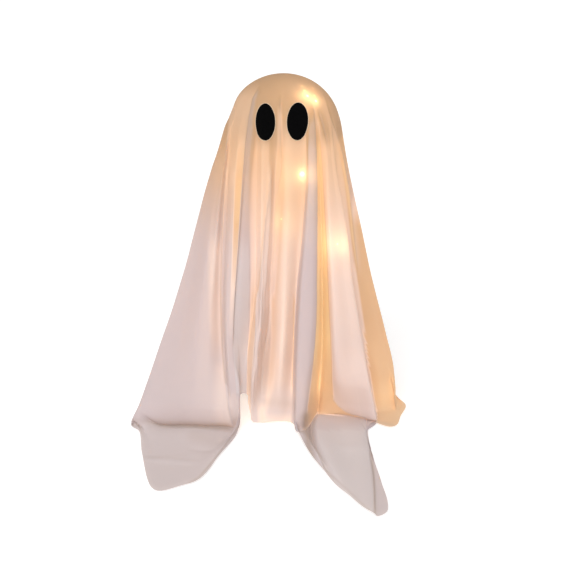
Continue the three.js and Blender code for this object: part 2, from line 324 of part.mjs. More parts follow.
// contact springs on the flat ends and tabs on the button ends
function spring(z0, h, up) {
  const pts = [];
  const n = 24, turns = 3;
  for (let k = 0; k <= n; k++) {
    const t = k / n, a = 2 * Math.PI * turns * t, r = 4.6 - 2.2 * t;
    pts.push(V(r * Math.cos(a), r * Math.sin(a), z0 + (up ? 1 : -1) * h * t));
  }
  return tube(new THREE.CatmullRomCurve3(pts), 0.35, 4, 26);
}
const cavTop = divZ - 0.9, cavBot = CASE_Z0 + CASE_WALL, cellTop = cellZ0 + CELL_L + 1.1;
cellX.forEach((x, i) => {
  const up = i !== 1;
  part(`contact_spring_${i + 1}`, at(spring(up ? cavBot + GAP + 0.9 : cavTop - GAP - 0.9,
    up ? cellZ0 - cavBot - GAP * 2 - 1.3 : cavTop - cellTop - GAP * 2 - 1.3, up), x, cellY), 0xbfc1c4, 0.3, 0.95);
});
part('contact_strip_top', join(box(-20, 20, cellY - 1.2, cellY + 4, cavTop - 0.75, cavTop - GAP)), 0xbfc1c4, 0.3, 0.95);
part('contact_strip_bottom', join(box(-20, 20, cellY - 1.2, cellY + 4, cavBot + GAP, cavBot + 0.75)), 0xbfc1c4, 0.3, 0.95);
// switch: board, body and slider
part('switch_board', box(-18, 18, cy0 + CASE_WALL + GAP, cy0 + 14.5, divZ + 1.2, divZ + 2.6), 0x2e6b44, 0.6);
part('switch_body', cut(box(-7, 7, cy0 + 4.5, cy0 + 10.5, divZ + 2.9, CASE_Z1 - CASE_WALL - GAP),
  box(-5.2, 5.2, cy0 + 6, cy0 + 9, divZ + 5, CASE_Z1)), 0x3a3a3c, 0.4);
part('switch_slider', join(box(-1.9 + 2, 1.9 + 2, cy0 + 6.3, cy0 + 8.7, divZ + 5.4, CASE_Z1 + 2.4)), 0x1c1c1e, 0.5);
// a C-shaped clip holds the case to the pole
const clipOut = solid(ring(POLE_R + GAP, POLE_R + 2.4, 62, 84, 24));
const clip = clipOut.add(solid(box(-6, 6, POLE_R + 1, cy0 - GAP, 62, 84)))
  .subtract(solid(disc(POLE_R + GAP, 60, 90, 24))).subtract(solid(box(-4.4, 4.4, -12, -3, 60, 90)));
part('case_clip', geo(clip), 0xe9e6df, 0.5);

// ---------- light string: one insulated wire with moulded beads, held along its route ----------
const ROUTE = [
  [21, -18.5, 104.5], [27, -18.5, 104.5], [34, -18.5, 104.5], [47, -14, 96], [70, -2, 70], [97, 1, 42],
  [120, 8.5, 28], [139.5, 13, 19], [142, 15, 23.5], [133, 14, 30], [112, 8, 38], [90, 9, 43],
  [64, 26, 43], [39, 29, 42], [18, 44, 48], [0, 46, 58], [-20, 32, 78], [-44, 20, 100],
  [-46, -4, 122], [-30, -18, 143], [-8, -12.5, 160], [8, -12.5, 168], [36, -22, 182], [58, -4, 202],
  [68, 22, 226], [69.9, 45, 243.9], [61, 43.3, 250.5], [43, 40.5, 258], [20, 50, 269], [-2.5, 57, 281.1],
  [-18, 50, 287], [-38, 30, 293], [-44, 2, 300], [-28, -16, 308], [-8, -12.5, 315], [8, -12.5, 321],
  [32, -14, 328], [42, 8, 333], [40, 40, 337], [23.2, 63, 341.2], [4, 56, 346], [-18, 42, 352],
  [-34, 10, 358], [-20, -24, 363], [14, -30, 366], [38, -10, 368], [45, 22, 367], [45.6, 40.5, 368],
  [47.6, 46.3, 372.6], [47.3, 46.4, 384], [46.5, 46.5, 399], [43.3, 43.6, 414], [35.9, 40.5, 427.2], [26.7, 41.5, 432.3],
  [18.5, 34, 440], [12, 25, 445.8], [6, 14, 449.3],
];
const BEADS = [
  [139.5, 13, 19], [39, 29, 42], [69.9, 45, 243.9], [-2.5, 57, 281.1], [23.2, 63, 341.2], [35.9, 40.5, 427.2],
  [26.7, 41.5, 432.3], [70, -2, 70], [-30, -18, 143], [36, -22, 182], [-44, 2, 300], [32, -14, 328],
  [-20, -24, 363], [38, -10, 368], [-44, 20, 100],
];
const wireCurve = new THREE.CatmullRomCurve3(ROUTE.map(([x, f, z]) => V(x, -f, z)), false, 'centripetal');
let string = solid(tube(wireCurve, WIRE_R, 5, 119));
for (const [x, f, z] of BEADS) {
  const g = new THREE.SphereGeometry(BEAD_R, 6, 4);
  g.scale(1, 1, 1.25);
  string = string.add(solid(at(g, x, -f, z)));
}
part('light_string', geo(string), 0xd9b98a, 0.4, 0.4);
part('string_gland', at(lathe([[WIRE_R + GAP, -2.6], [1.7, -2.6], [1.7, 0.3], [3.2, 0.5], [3.2, 1.6], [1.9, 4.8], [WIRE_R + GAP, 4.8],
  [WIRE_R + GAP, -2.6]], 12), hw, cy0 + 8, CASE_Z1 - 7.5, 0, Math.PI / 2), 0xdedbd3, 0.6);
for (const [k, z] of [[1, 164], [2, 318]]) {
  const c = solid(ring(POLE_R + GAP, POLE_R + 1.9, z - 3, z + 3, 20)).add(solid(box(-2.2, 2.2, POLE_R + 1.2, 10.6, z - 3, z + 3)))
    .subtract(solid(disc(POLE_R + GAP, z - 5, z + 5, 20))).subtract(solid(box(-4, 4, -12, -3, z - 5, z + 5)));
  part(`string_clip_${k}`, geo(c), 0xe9e6df, 0.5);
}

export default group;
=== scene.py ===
# Light-up standing ghost: the looks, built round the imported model.
import bpy, bmesh, math
import numpy as np
from mathutils import Vector, Matrix
from mathutils.bvhtree import BVHTree

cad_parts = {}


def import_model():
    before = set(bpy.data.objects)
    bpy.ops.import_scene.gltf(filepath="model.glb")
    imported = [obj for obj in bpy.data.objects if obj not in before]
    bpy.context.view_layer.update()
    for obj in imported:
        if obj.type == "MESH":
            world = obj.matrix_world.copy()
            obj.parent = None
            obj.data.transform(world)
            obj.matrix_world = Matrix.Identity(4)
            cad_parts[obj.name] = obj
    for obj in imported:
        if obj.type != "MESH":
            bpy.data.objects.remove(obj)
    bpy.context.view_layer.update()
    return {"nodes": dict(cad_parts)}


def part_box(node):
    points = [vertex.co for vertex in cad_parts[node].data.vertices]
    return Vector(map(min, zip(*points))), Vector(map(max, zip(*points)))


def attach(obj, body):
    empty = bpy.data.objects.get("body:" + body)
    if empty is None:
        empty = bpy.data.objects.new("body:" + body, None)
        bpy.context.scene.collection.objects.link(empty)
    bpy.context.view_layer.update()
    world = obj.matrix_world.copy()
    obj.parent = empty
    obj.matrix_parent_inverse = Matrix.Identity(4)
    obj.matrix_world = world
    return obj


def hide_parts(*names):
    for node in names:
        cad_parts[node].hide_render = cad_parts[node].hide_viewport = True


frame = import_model()
nodes = frame["nodes"]
scene = bpy.context.scene
MM = 0.001

# ---------------------------------------------------------------- camera
cam_data = bpy.data.cameras.new("camera")
cam = bpy.data.objects.new("camera", cam_data)
scene.collection.objects.link(cam)
cam_data.sensor_width = 36.0
cam_data.lens = 36.0 * 1000 / 576
cam_data.clip_start, cam_data.clip_end = 0.05, 60
cam.location = (0.00576, -1.280, 0.640)
cam.rotation_euler = (math.radians(90 - 20.3), 0, 0)
scene.camera = cam

# ---------------------------------------------------------------- the drape's fold lines, mm
# (name, hem height, [x, forward] at ten heights, [x, forward, z] of the part that lies on the floor)
FOLDS = [
    ('sl', 4, [[-79.1,5.0],[-90.2,7.2],[-104.6,11.7],[-118.3,18.2],[-132.9,25.9],[-148.9,34.8],[-165.8,44.0],[-181.0,58.1],[-193.7,76.9],[-204.3,83.0]], [[-205,84,3],[-205,85,3],[-204.5,86,3],[-203.5,88,3]]),
    ('sa', 4, [[-78.3,9.0],[-88.8,12.2],[-102.3,16.8],[-115.1,22.5],[-128.8,29.4],[-143.6,37.2],[-158.9,46.7],[-172.9,62.9],[-189.9,81.8],[-196.0,87.5]], [[-195,92,3],[-194,95,3],[-193,100,3],[-192,103,3]]),
    ('pa', 4, [[-76.6,18.4],[-85.4,23.8],[-96.8,28.7],[-107.7,32.7],[-119.2,37.3],[-131.1,42.7],[-142.7,52.9],[-151.8,74.0],[-159.9,91.5],[-167.5,88.0]], [[-173,96,3],[-176,122,2.5],[-178,142,3],[-180,160,3]]),
    ('pb', 4, [[-74.0,26.0],[-80.3,36.2],[-88.7,44.0],[-96.8,49.3],[-104.9,54.4],[-112.6,59.3],[-119.2,68.1],[-124.1,81.7],[-128.0,94.5],[-131.1,91.0]], [[-137,100,4],[-146,150,3],[-152,198,3],[-157,243,3]]),
    ('pb2', 4, [[-73.3,27.6],[-79.0,38.2],[-86.5,46.3],[-93.9,51.7],[-101.1,56.6],[-107.7,61.1],[-113.0,69.4],[-116.5,82.6],[-119.1,95.4],[-121.1,91.9]], [[-127,100,5],[-134,152,3],[-140,200,3],[-147,250.5,3]]),
    ('pc', 4, [[-71.6,31.1],[-75.8,43.1],[-81.4,51.9],[-87.0,57.3],[-92.1,61.7],[-96.1,65.4],[-98.3,72.5],[-98.7,84.5],[-98.4,97.5],[-97.6,94.0]], [[-102,101,4],[-108,150,3],[-114,195,3],[-124,240,3]]),
    ('f1', 4, [[-69.8,33.1],[-72.2,41.7],[-75.6,48.3],[-79.2,51.9],[-81.9,55.1],[-82.9,57.9],[-81.5,64.7],[-78.1,82.5],[-74.3,100.5],[-70.5,97.0]], [[-77,109,6],[-84,140,5],[-93,178,6],[-103,226,3]]),
    ('f1r', 4, [[-56.7,51.1],[-60.1,58.4],[-64.1,65.6],[-68.0,71.6],[-71.7,77.2],[-73.8,82.7],[-72.8,88.0],[-70.2,92.3],[-66.3,95.4],[-62.3,97.3]], [[-66,108,9],[-68,124,10],[-74,146,10],[-81,170,4]]),
    ('f2', 6, [[-43.6,61.0],[-48.6,65.0],[-53.3,69.8],[-57.7,74.1],[-62.7,78.2],[-66.6,82.3],[-66.6,86.5],[-58.7,91.1],[-58.7,93.1],[-59.0,95.0]], [[-60,98,8],[-60,100,8],[-60,103,7],[-61,108,4]]),
    ('f2h', 26, [[-41.6,61.5],[-45.6,64.8],[-49.5,68.6],[-53.1,72.0],[-57.1,75.2],[-60.8,78.4],[-61.1,80.3],[-58.8,82.8],[-57.7,85.4],[-58.0,87.2]], None),
    ('f2g', 45, [[-40.2,61.8],[-43.6,64.6],[-46.9,67.8],[-50.0,70.6],[-53.3,73.3],[-56.7,75.8],[-58.1,77.1],[-56.9,77.4],[-57.1,78.9],[-57.2,79.6]], None),
    ('f3', 44, [[-32.3,63.7],[-33.3,64.5],[-34.3,65.2],[-34.9,65.4],[-35.8,65.5],[-38.2,65.3],[-43.1,67.6],[-48.4,72.9],[-48.7,75.9],[-49.0,77.3]], None),
    ('f3h', 33, [[-30.8,64.8],[-31.8,66.1],[-32.8,67.4],[-33.3,68.2],[-34.2,68.9],[-36.7,69.3],[-42.6,72.6],[-47.0,76.5],[-47.8,78.3],[-47.9,79.0]], None),
    ('f3q', 17, [[-28.5,66.3],[-29.5,68.6],[-30.5,70.8],[-31.0,72.6],[-31.7,74.3],[-34.4,75.7],[-41.8,79.2],[-44.9,80.8],[-45.5,80.3],[-45.0,79.4]], None),
    ('f3r', 4, [[-24.8,69.0],[-25.7,72.7],[-26.7,76.5],[-27.0,80.1],[-27.4,83.6],[-29.8,86.8],[-36.1,89.7],[-40.9,91.1],[-42.4,81.5],[-42.5,78.0]], None),
    ('f5', 3, [[-3.9,69.9],[-6.8,69.1],[-9.0,68.2],[-12.4,67.2],[-16.5,66.3],[-17.9,65.9],[-23.6,64.4],[-28.2,64.0],[-30.2,72.5],[-29.6,80.0]], None),
    ('cp', 4, [[5.8,72.1],[5.8,74.6],[5.2,77.4],[2.7,80.5],[0.9,83.6],[-0.5,86.6],[-3.1,89.1],[-5.5,83.6],[-6.3,79.6],[-6.4,77.0]], None),
    ('g11', 3, [[25.8,66.1],[25.8,67.1],[23.8,68.5],[20.4,70.0],[17.1,70.8],[14.6,71.4],[12.7,71.7],[11.4,72.6],[10.4,77.5],[10.0,80.0]], None),
    ('r1l', 4, [[32.7,65.3],[32.7,70.0],[30.8,75.5],[27.3,81.3],[23.4,86.3],[20.6,90.8],[18.7,94.7],[17.4,98.1],[16.6,100.7],[16.3,102.4]], [[18,114,10],[21,124,9],[25,138,7],[31,155,3.5]]),
    ('r1r', 4, [[37.2,63.1],[37.9,68.0],[38.3,73.3],[38.6,79.0],[38.0,84.1],[36.4,89.2],[33.6,93.6],[29.5,97.4],[26.9,100.2],[25.4,102.0]], [[28,124,13],[34,148,12],[42,172,10],[49,203,4]]),
    ('v2', 4, [[44.4,55.6],[46.0,54.0],[47.1,52.6],[49.0,50.8],[50.5,48.0],[51.4,45.4],[51.6,44.8],[50.1,46.4],[48.3,48.3],[47.0,49.6]], [[39,78,2.5],[36,108,2.2],[40,150,2.5],[64,238,3]]),
    ('v2b', 4, [[46.7,54.4],[48.5,54.7],[50.0,55.5],[52.1,55.9],[54.2,55.3],[55.8,54.9],[56.6,55.5],[56.0,55.6],[52.7,54.3],[49.0,55.0]], [[47,70,10],[43,104,12],[47,148,11],[78,263,4]]),
    ('p3l', 4, [[51.9,51.7],[54.2,56.5],[56.6,62.1],[59.5,67.8],[62.8,72.2],[65.9,76.8],[68.3,80.6],[71.1,77.1],[75.9,68.1],[79.1,62.0]], [[76,88,6],[77,140,6],[82,200,6],[92,287,4]]),
    ('p3m', 4, [[56.3,47.2],[59.8,51.7],[65.8,55.3],[71.4,60.8],[75.9,65.5],[82.1,69.9],[87.3,73.9],[92.6,81.5],[98.4,76.4],[101.9,72.0]], [[108,100,5],[108,150,7],[108,215,7],[104,303,5]]),
    ('p3n', 4, [[56.9,46.5],[60.6,50.8],[67.3,54.0],[73.3,59.3],[78.0,64.3],[84.6,68.6],[90.3,72.7],[96.0,82.2],[102.0,77.4],[105.5,73.3]], [[108.5,100,3.5],[108.7,150,3.5],[111,215,3],[106.5,304,2.5]]),
    ('p3r', 4, [[59.7,43.2],[65.1,46.4],[75.0,47.0],[83.3,51.9],[89.1,57.6],[98.0,61.9],[106.1,66.2],[113.6,85.7],[120.5,82.6],[124.6,80.0]], [[109.5,106,3],[110,150,3],[115,215,3],[119,295,2.5]]),
    ('p3x', 4, [[62.2,38.6],[66.1,39.7],[73.8,39.7],[80.8,43.1],[85.5,47.4],[92.7,51.2],[99.5,54.6],[104.8,65.6],[112.6,61.5],[117.0,58.0]], [[110,100,3],[110.3,130,3],[112.4,172,3],[118,224,2.5]]),
    ('p3y', 4, [[64.7,33.8],[67.2,32.6],[72.5,32.0],[78.1,33.6],[81.7,36.5],[87.0,39.8],[92.5,42.2],[99.0,44.2],[108.9,46.8],[115.0,52.0]], [[112,84,3],[110.5,100,3],[110,125,3],[110.5,152,2.5]]),
    ('v4', 4, [[67.8,28.0],[68.5,24.1],[70.9,22.8],[75.0,22.4],[77.1,23.6],[80.3,26.3],[84.5,27.9],[99.0,34.4],[109.1,39.3],[117.0,48.0]], [[117,56,3],[118,64,3],[119,71,3],[119,79,2.5]]),
    ('v4b', 4, [[70.8,16.3],[74.3,14.3],[79.9,14.1],[87.3,14.7],[93.1,16.4],[100.4,19.1],[108.2,21.4],[128.5,34.4],[133.5,39.0],[137.0,46.0]], [[138,56,3],[139,68,3],[140,80,2.5],[141,91,2.5]]),
    ('v4c', 4, [[73.2,6.7],[79.0,6.3],[87.2,7.0],[97.4,8.5],[106.1,10.5],[116.7,13.3],[127.1,15.9],[141.8,24.3],[149.8,27.8],[155.0,33.0]], [[155,44,3],[155,58,3],[154,72,2.5],[151,86,2.5]]),
    ('v4d', 4, [[74.0,3.4],[80.7,3.5],[89.7,4.6],[100.9,6.2],[110.7,8.5],[122.5,11.2],[133.8,13.9],[146.6,21.5],[152.2,31.4],[156.2,35.2]], [[159.3,34.5,3],[159.7,43.5,3],[159.5,52.4,3],[159.2,61.2,3]]),
    ('sr', 3, [[74.9,0.0],[82.4,0.7],[92.4,2.1],[104.5,4.1],[115.4,6.4],[128.4,9.2],[140.7,12.1],[151.6,17.4],[155.7,21.1],[157.8,19.8]], [[162.0,14.5,3],[164.3,19.6,4],[167.4,22.7,4],[169.8,24.7,3]]),
    ('srb', 6, [[74.5,-1.5],[81.1,-0.9],[90.0,0.3],[100.8,2.1],[110.5,4.2],[122.2,6.6],[133.2,9.0],[144.7,13.2],[149.1,8.5],[153.4,7.3]], None),
    ('b1', 24, [[71.0,-15.1],[70.4,-15.1],[69.9,-15.2],[69.5,-15.4],[69.6,-15.6],[70.1,-15.9],[70.8,-16.2],[71.8,-16.6],[72.7,-16.9],[73.4,-17.2]], None),
    ('b2', 9, [[66.8,-28.4],[77.2,-33.1],[86.3,-37.4],[95.3,-41.6],[103.7,-45.7],[111.9,-49.5],[119.1,-53.0],[125.6,-56.1],[130.5,-58.5],[134.2,-60.3]], None),
    ('b3', 28, [[60.2,-40.6],[58.2,-39.8],[56.4,-39.2],[55.9,-39.6],[55.6,-40.1],[55.2,-40.6],[54.8,-41.0],[54.5,-41.5],[54.3,-41.8],[54.1,-42.0]], None),
    ('b4', 12, [[51.3,-51.3],[59.7,-60.5],[66.9,-68.7],[74.1,-76.9],[80.8,-84.6],[87.3,-92.1],[93.1,-98.8],[98.2,-104.8],[102.2,-109.4],[105.1,-112.9]], None),
    ('b5', 32, [[39.5,-60.9],[37.9,-59.6],[36.3,-58.4],[35.4,-58.7],[34.6,-59.1],[33.9,-59.5],[33.2,-59.9],[32.5,-60.3],[32.0,-60.6],[31.6,-60.8]], None),
    ('b6', 14, [[26.0,-67.8],[29.9,-80.1],[33.2,-91.1],[36.4,-102.1],[39.4,-112.5],[42.3,-122.6],[44.8,-131.6],[47.1,-139.7],[48.8,-145.8],[50.0,-150.4]], None),
    ('b7', 34, [[11.4,-71.7],[10.3,-70.2],[9.2,-68.7],[8.1,-68.1],[7.1,-68.1],[6.2,-68.2],[5.3,-68.3],[4.4,-68.4],[3.8,-68.4],[3.3,-68.4]], None),
    ('b8', 14, [[-3.8,-72.5],[-5.4,-86.0],[-6.9,-98.0],[-8.5,-110.0],[-10.1,-121.4],[-11.7,-132.4],[-13.2,-142.2],[-14.5,-151.1],[-15.5,-157.8],[-16.2,-162.9]], None),
    ('b9', 30, [[-18.8,-70.1],[-19.2,-68.7],[-19.7,-67.2],[-20.3,-65.9],[-21.1,-65.2],[-22.0,-65.0],[-22.9,-65.0],[-23.7,-65.0],[-24.3,-65.0],[-24.8,-65.0]], None),
    ('b10', 8, [[-31.8,-65.3],[-38.7,-77.6],[-45.0,-88.5],[-51.3,-99.5],[-57.4,-109.9],[-63.3,-119.9],[-68.7,-128.9],[-73.5,-137.0],[-77.1,-143.1],[-79.9,-147.7]], None),
    ('b11', 4, [[-42.7,-58.7],[-43.7,-58.9],[-44.9,-59.2],[-46.3,-59.8],[-48.0,-60.8],[-50.0,-62.1],[-52.1,-63.7],[-54.2,-65.3],[-55.9,-66.7],[-57.0,-67.6]], [[-62,-84,6],[-74,-100,5],[-87,-114,4],[-101,-128,3]]),
    ('b12', 4, [[-53.1,-49.5],[-64.1,-58.9],[-74.0,-67.3],[-84.1,-75.7],[-93.6,-83.7],[-102.9,-91.4],[-111.2,-98.2],[-118.7,-104.4],[-124.4,-109.1],[-128.0,-112.1]], [[-122,-128,6],[-131,-141,4],[-142,-154,4],[-153,-168,3]]),
    ('b13', 4, [[-62.2,-37.4],[-73.9,-43.9],[-84.5,-49.7],[-95.2,-55.5],[-105.4,-61.0],[-115.2,-66.3],[-124.1,-71.0],[-132.0,-75.3],[-138.1,-78.5],[-142.0,-80.6]], [[-143,-96,5],[-149,-104,4],[-153,-116,4],[-157,-130,3]]),
    ('b14', 20, [[-68.6,-23.6],[-68.3,-23.2],[-68.1,-22.8],[-68.1,-22.5],[-68.4,-22.3],[-69.2,-22.2],[-70.3,-22.3],[-71.5,-22.4],[-72.6,-22.5],[-73.4,-22.7]], None),
    ('b15', 5, [[-72.2,-7.6],[-86.8,-9.0],[-100.0,-10.3],[-113.2,-11.6],[-125.8,-12.8],[-138.0,-14.0],[-148.9,-15.0],[-158.8,-16.0],[-166.3,-16.7],[-171.3,-17.2]], None),
    ('b16', 14, [[-72.2,7.6],[-75.6,7.9],[-79.4,8.2],[-83.9,8.5],[-88.7,8.9],[-94.0,9.4],[-99.3,9.8],[-104.4,10.3],[-108.4,10.6],[-111.6,10.9]], None),
    ('slb', 6, [[-78.4,5.3],[-88.7,7.3],[-102.0,11.3],[-114.7,17.1],[-128.3,24.1],[-143.1,32.1],[-158.8,40.2],[-172.8,52.4],[-184.4,69.8],[-195.1,75.8]], None),
]
BODY_S = [0, 0.11, 0.23, 0.36, 0.49, 0.62, 0.74, 0.85, 0.935, 1]
TOP, EQ, RAD = 455.4, 388.0, 72.5
# painted lamp light in the cloth's colour, low down and up at the head, where it is painted darker and warmer: for
# nothing behind it, some lamp light, close in front of lamps
LOW = [(0.0, (0.650, 0.615, 0.645)), (0.04, (0.565, 0.500, 0.535)), (0.45, (0.88, 0.705, 0.63)), (0.85, (0.65, 0.42, 0.25)), (1.0, (0.90, 0.72, 0.45))]
UP = [(0.0, (0.61, 0.47, 0.40)), (0.07, (0.55, 0.365, 0.225)), (0.15, (0.56, 0.345, 0.19)), (0.5, (0.80, 0.53, 0.35)), (0.85, (0.78, 0.47, 0.25)), (1.0, (0.86, 0.57, 0.30))]
# crisp folds of the front, by where they are seen in the 576 frame: places down the line, mm it runs out to its left
# and right, height of its crest, how much more lamp light is painted in on its left and right, and how dark the painted
# shade along its crease shows
LINES = [([(259, 85), (257.5, 90), (253, 100), (249.4, 118), (246, 142), (243, 178), (240, 220), (237, 260), (234.6, 292), (233, 320), (232.5, 350)], 11, 2.6, 1.6, 0.02, -0.25, 0.75),
         ([(234, 104), (231, 114), (228.6, 128), (227, 146), (225, 180), (224, 200), (222.6, 240), (221, 260), (220.6, 320), (224, 370), (226, 392)], 6, 5, 1.0, -0.02, 0.02, 0.4),
         ([(281.5, 92), (280.6, 100), (279.4, 122), (280, 146), (281, 166), (278, 186), (275, 204)], 3.4, 3.4, -1.3, -0.20, -0.10, 0.45),
         ([(274, 104), (273.5, 122), (272.5, 145)], 3, 3, 0.8, 0.10, 0.06, 0),
         ([(269.6, 170), (268.5, 190), (265, 220), (262, 260), (257.4, 300), (255, 335)], 2.5, 2, 0.8, 0.25, -0.05, 0.35),
         ([(309, 99), (312.5, 106), (314, 120), (314.8, 132), (316, 156), (316.8, 186), (316.6, 240), (316, 300), (314.6, 340), (311, 376)], 8, 1.6, 1.2, -0.12, 0.15, 0.7),
         ([(294.6, 290), (294.4, 310), (294.8, 340), (293.5, 375), (292.5, 402)], 1.6, 3, 0.6, 0.40, 0.0, 0),
         ([(317, 103), (320, 114), (325, 132), (329, 152)], 4, 4, -1.5, -0.20, -0.14, 0.6),
         ([(320, 90), (324, 97), (329, 116), (335, 132), (342, 156), (349, 194), (354, 236), (358, 280)], 8, 3, 1.3, 0.12, -0.20, 0.5),
         ([(243, 84), (236, 96), (231, 108)], 4, 3, -0.7, -0.08, 0.06, 0.35),
         ([(259, 285), (257.2, 310), (256.4, 350), (256.2, 400)], 4.5, 4, 2.6, 0, 0, 0), ([(263.4, 285), (262.8, 320), (262.6, 350), (262, 402)], 4, 4, -1.8, 0, 0, 0),
         ([(271, 160), (270, 190), (268.6, 220), (266, 260), (264, 300)], 6, 6, 3.2, 0, 0, 0)]
# painted shade, wider than the painted crease lines: places down it, half width in mm, strength
SHADES = [([(306.4, 416), (306.4, 432), (308.4, 446), (312, 459)], 5.4, 1.5), ([(371.4, 452), (373.4, 470), (374.6, 490), (374.6, 514)], 1.4, 1.1), ([(309, 452), (318, 463), (340, 483), (370, 511)], 1.3, 0.6), ([(374, 421.5), (393, 425.5)], 2.2, 0.6), ([(133, 420.5), (150, 422), (200, 424), (226, 426)], 4.6, 0.55), ([(237.4, 428), (229, 441), (214, 460), (199, 477.5), (188, 484)], 1.5, 0.85), ([(194, 436), (222, 441)], 9, 0.34), ([(136, 458), (160, 456.6), (186, 456)], 3, 0.16), ([(265, 312), (265, 350), (264, 392)], 5.5, 0.38), ([(227.4, 140), (225, 172), (222, 234), (220.6, 300), (222.6, 350), (226, 384)], 1.1, 0.9), ([(208, 212), (197, 255), (184, 310), (172, 400)], 26, 0.16), ([(250, 118), (248, 140), (246.5, 172)], 3.4, 0.55), ([(266, 402), (290, 404)], 8, 0.42),
          ([(332.8, 396), (334, 401), (338.4, 406), (344.4, 411), (352.4, 415), (366, 418)], 0.9, 0.9)]
# folds of the front that more or less lamp light comes through: rows of (seen height, left edge, right edge, light), softness of each edge
BANDS = [([(419, 315, 371, -0.026), (455, 316, 370, -0.026), (512, 352, 375, -0.02)], 3, 2),
         ([(86, 243, 258.5, 0.36), (100, 234, 252.6, 0.38), (118, 229, 249, 0.38), (146, 227, 245.6, 0.34), (165, 226, 243.6, 0.34)], 3, 0.9),
         ([(150, 214, 226, 0.20), (200, 212, 223.5, 0.10), (230, 210, 222, 0.14), (250, 209, 221, 0.34), (280, 209, 220.8, 0.36), (330, 210, 221, 0.32), (360, 212, 223, 0.12)], 6, 0.8),
         ([(180, 226, 236, 0.30), (210, 224.5, 235, 0.16), (240, 223, 235, 0.12), (290, 221.5, 234, 0.09), (340, 222, 232, 0.05), (390, 226, 236, 0.02)], 1.0, 5),
         ([(138, 240, 246.5, 0.5), (150, 237.5, 245, 0.6), (180, 235.5, 242.4, 0.85), (220, 233.5, 239.4, 0.85), (250, 232.6, 237.6, 0.68), (275, 231.6, 235.8, 0.55), (300, 230, 234, 0.30), (330, 229, 232.6, 0.12)], 2.5, 0.7),
         ([(128, 248, 255.5, 0.04), (150, 246, 254, 0.05), (180, 243.4, 250, 0.02), (200, 241.6, 248.5, 0.0), (225, 239.6, 249.4, 0.02), (250, 238.0, 250.0, -0.03), (280, 235.6, 250.4, -0.04), (320, 233.3, 250.2, -0.045),
           (350, 233, 247.6, -0.045), (392, 236, 247, -0.03)], 0.7, 2.0),
         ([(140, 256, 270, 0.42), (180, 252.5, 268.8, 0.42), (220, 253.5, 264.8, 0.38), (255, 253.5, 262, 0.42), (285, 252, 258.6, 0.5), (300, 251, 257, 0.60), (330, 250.3, 254.8, 0.62), (360, 248.3, 252.6, 0.60), (400, 247.2, 249.8, 0.56)], 4.0, 0.8),
         ([(150, 270, 274.5, 0.20), (180, 269.4, 274.6, 0.22), (215, 266, 273.8, 0.26), (240, 264, 273, 0.32), (260, 262.5, 272, 0.33), (300, 258, 271, 0.24), (340, 255.4, 271, 0.19), (400, 252.5, 266, 0.20)], 0.8, 5),
         ([(104, 277.5, 281.5, 0.5), (150, 277.5, 283, 0.78), (180, 275.5, 283, 0.72), (220, 274, 280.6, 0.60), (250, 273, 279, 0.5), (290, 271, 275, 0.32)], 3, 3),
         ([(130, 284, 306, 0.42), (160, 284, 306.5, 0.52), (200, 283, 305, 0.60), (240, 281, 302, 0.50), (300, 277, 295, 0.46), (340, 277, 294, 0.42), (380, 275, 293, 0.32), (395, 271, 292, 0.18), (412, 266, 291.5, 0.12)], 7, 0.8),
         ([(112, 309.5, 314, 0.14), (130, 309, 315, 0.02), (150, 308, 316, -0.04), (190, 308, 316.5, -0.04), (220, 305.4, 316.5, -0.015), (260, 301.4, 316.4, 0.0), (300, 297, 316, 0.0), (340, 295.6, 314.6, 0.0),
           (376, 295, 311, 0.0), (424, 296, 305, 0.0)], 1.0, 0.8),
         ([(120, 315.5, 319, 0.5), (150, 316.8, 321, 0.95), (180, 317.2, 323, 1.0), (220, 317.2, 325, 1.0), (260, 317.2, 327, 1.0), (320, 316.2, 329.6, 1.0), (340, 315, 331, 1.0), (380, 311.5, 332, 0.90), (400, 309, 333.5, 0.84), (406, 308, 338, 0.82), (411, 308, 344, 0.80), (415, 308, 352, 0.78), (418, 308, 364, 0.74)], 0.8, 1.2),
         ([(140, 321.5, 337, 0.46), (180, 323.6, 344, 0.46), (220, 325.6, 349, 0.44), (260, 327.8, 354, 0.38), (320, 330, 362.5, 0.30), (340, 331.5, 365.3, 0.24), (380, 332.6, 371, 0.20), (400, 334, 374.5, 0.18), (406, 338.6, 376, 0.16), (411, 344.6, 377, 0.15), (415, 352.6, 377, 0.14), (418, 364.6, 377, 0.12)], 1.2, 1.2),
         ([(120, 334, 350, 0.05), (150, 341.5, 360, 0.10), (188, 349, 372, 0.14), (208, 351, 374, 0.5), (226, 352, 377, 0.84), (320, 363.5, 400, 0.84), (380, 372, 412, 0.84), (414, 379, 414, 0.86)], 1.4, 2)]
# E_WARM: strength of the cloth's painted warm glow, an emission that follows its painted lamp light
LAMP_W, E_WARM, HEAD_FOLD = 0.02, 0.10, 0.45
LAMP_SHARE = [0.3, 1.6, 0.8, 0.4, 0.7, 0.55, 0.55, 1, 1, 1, 1, 1, 1, 1, 1]
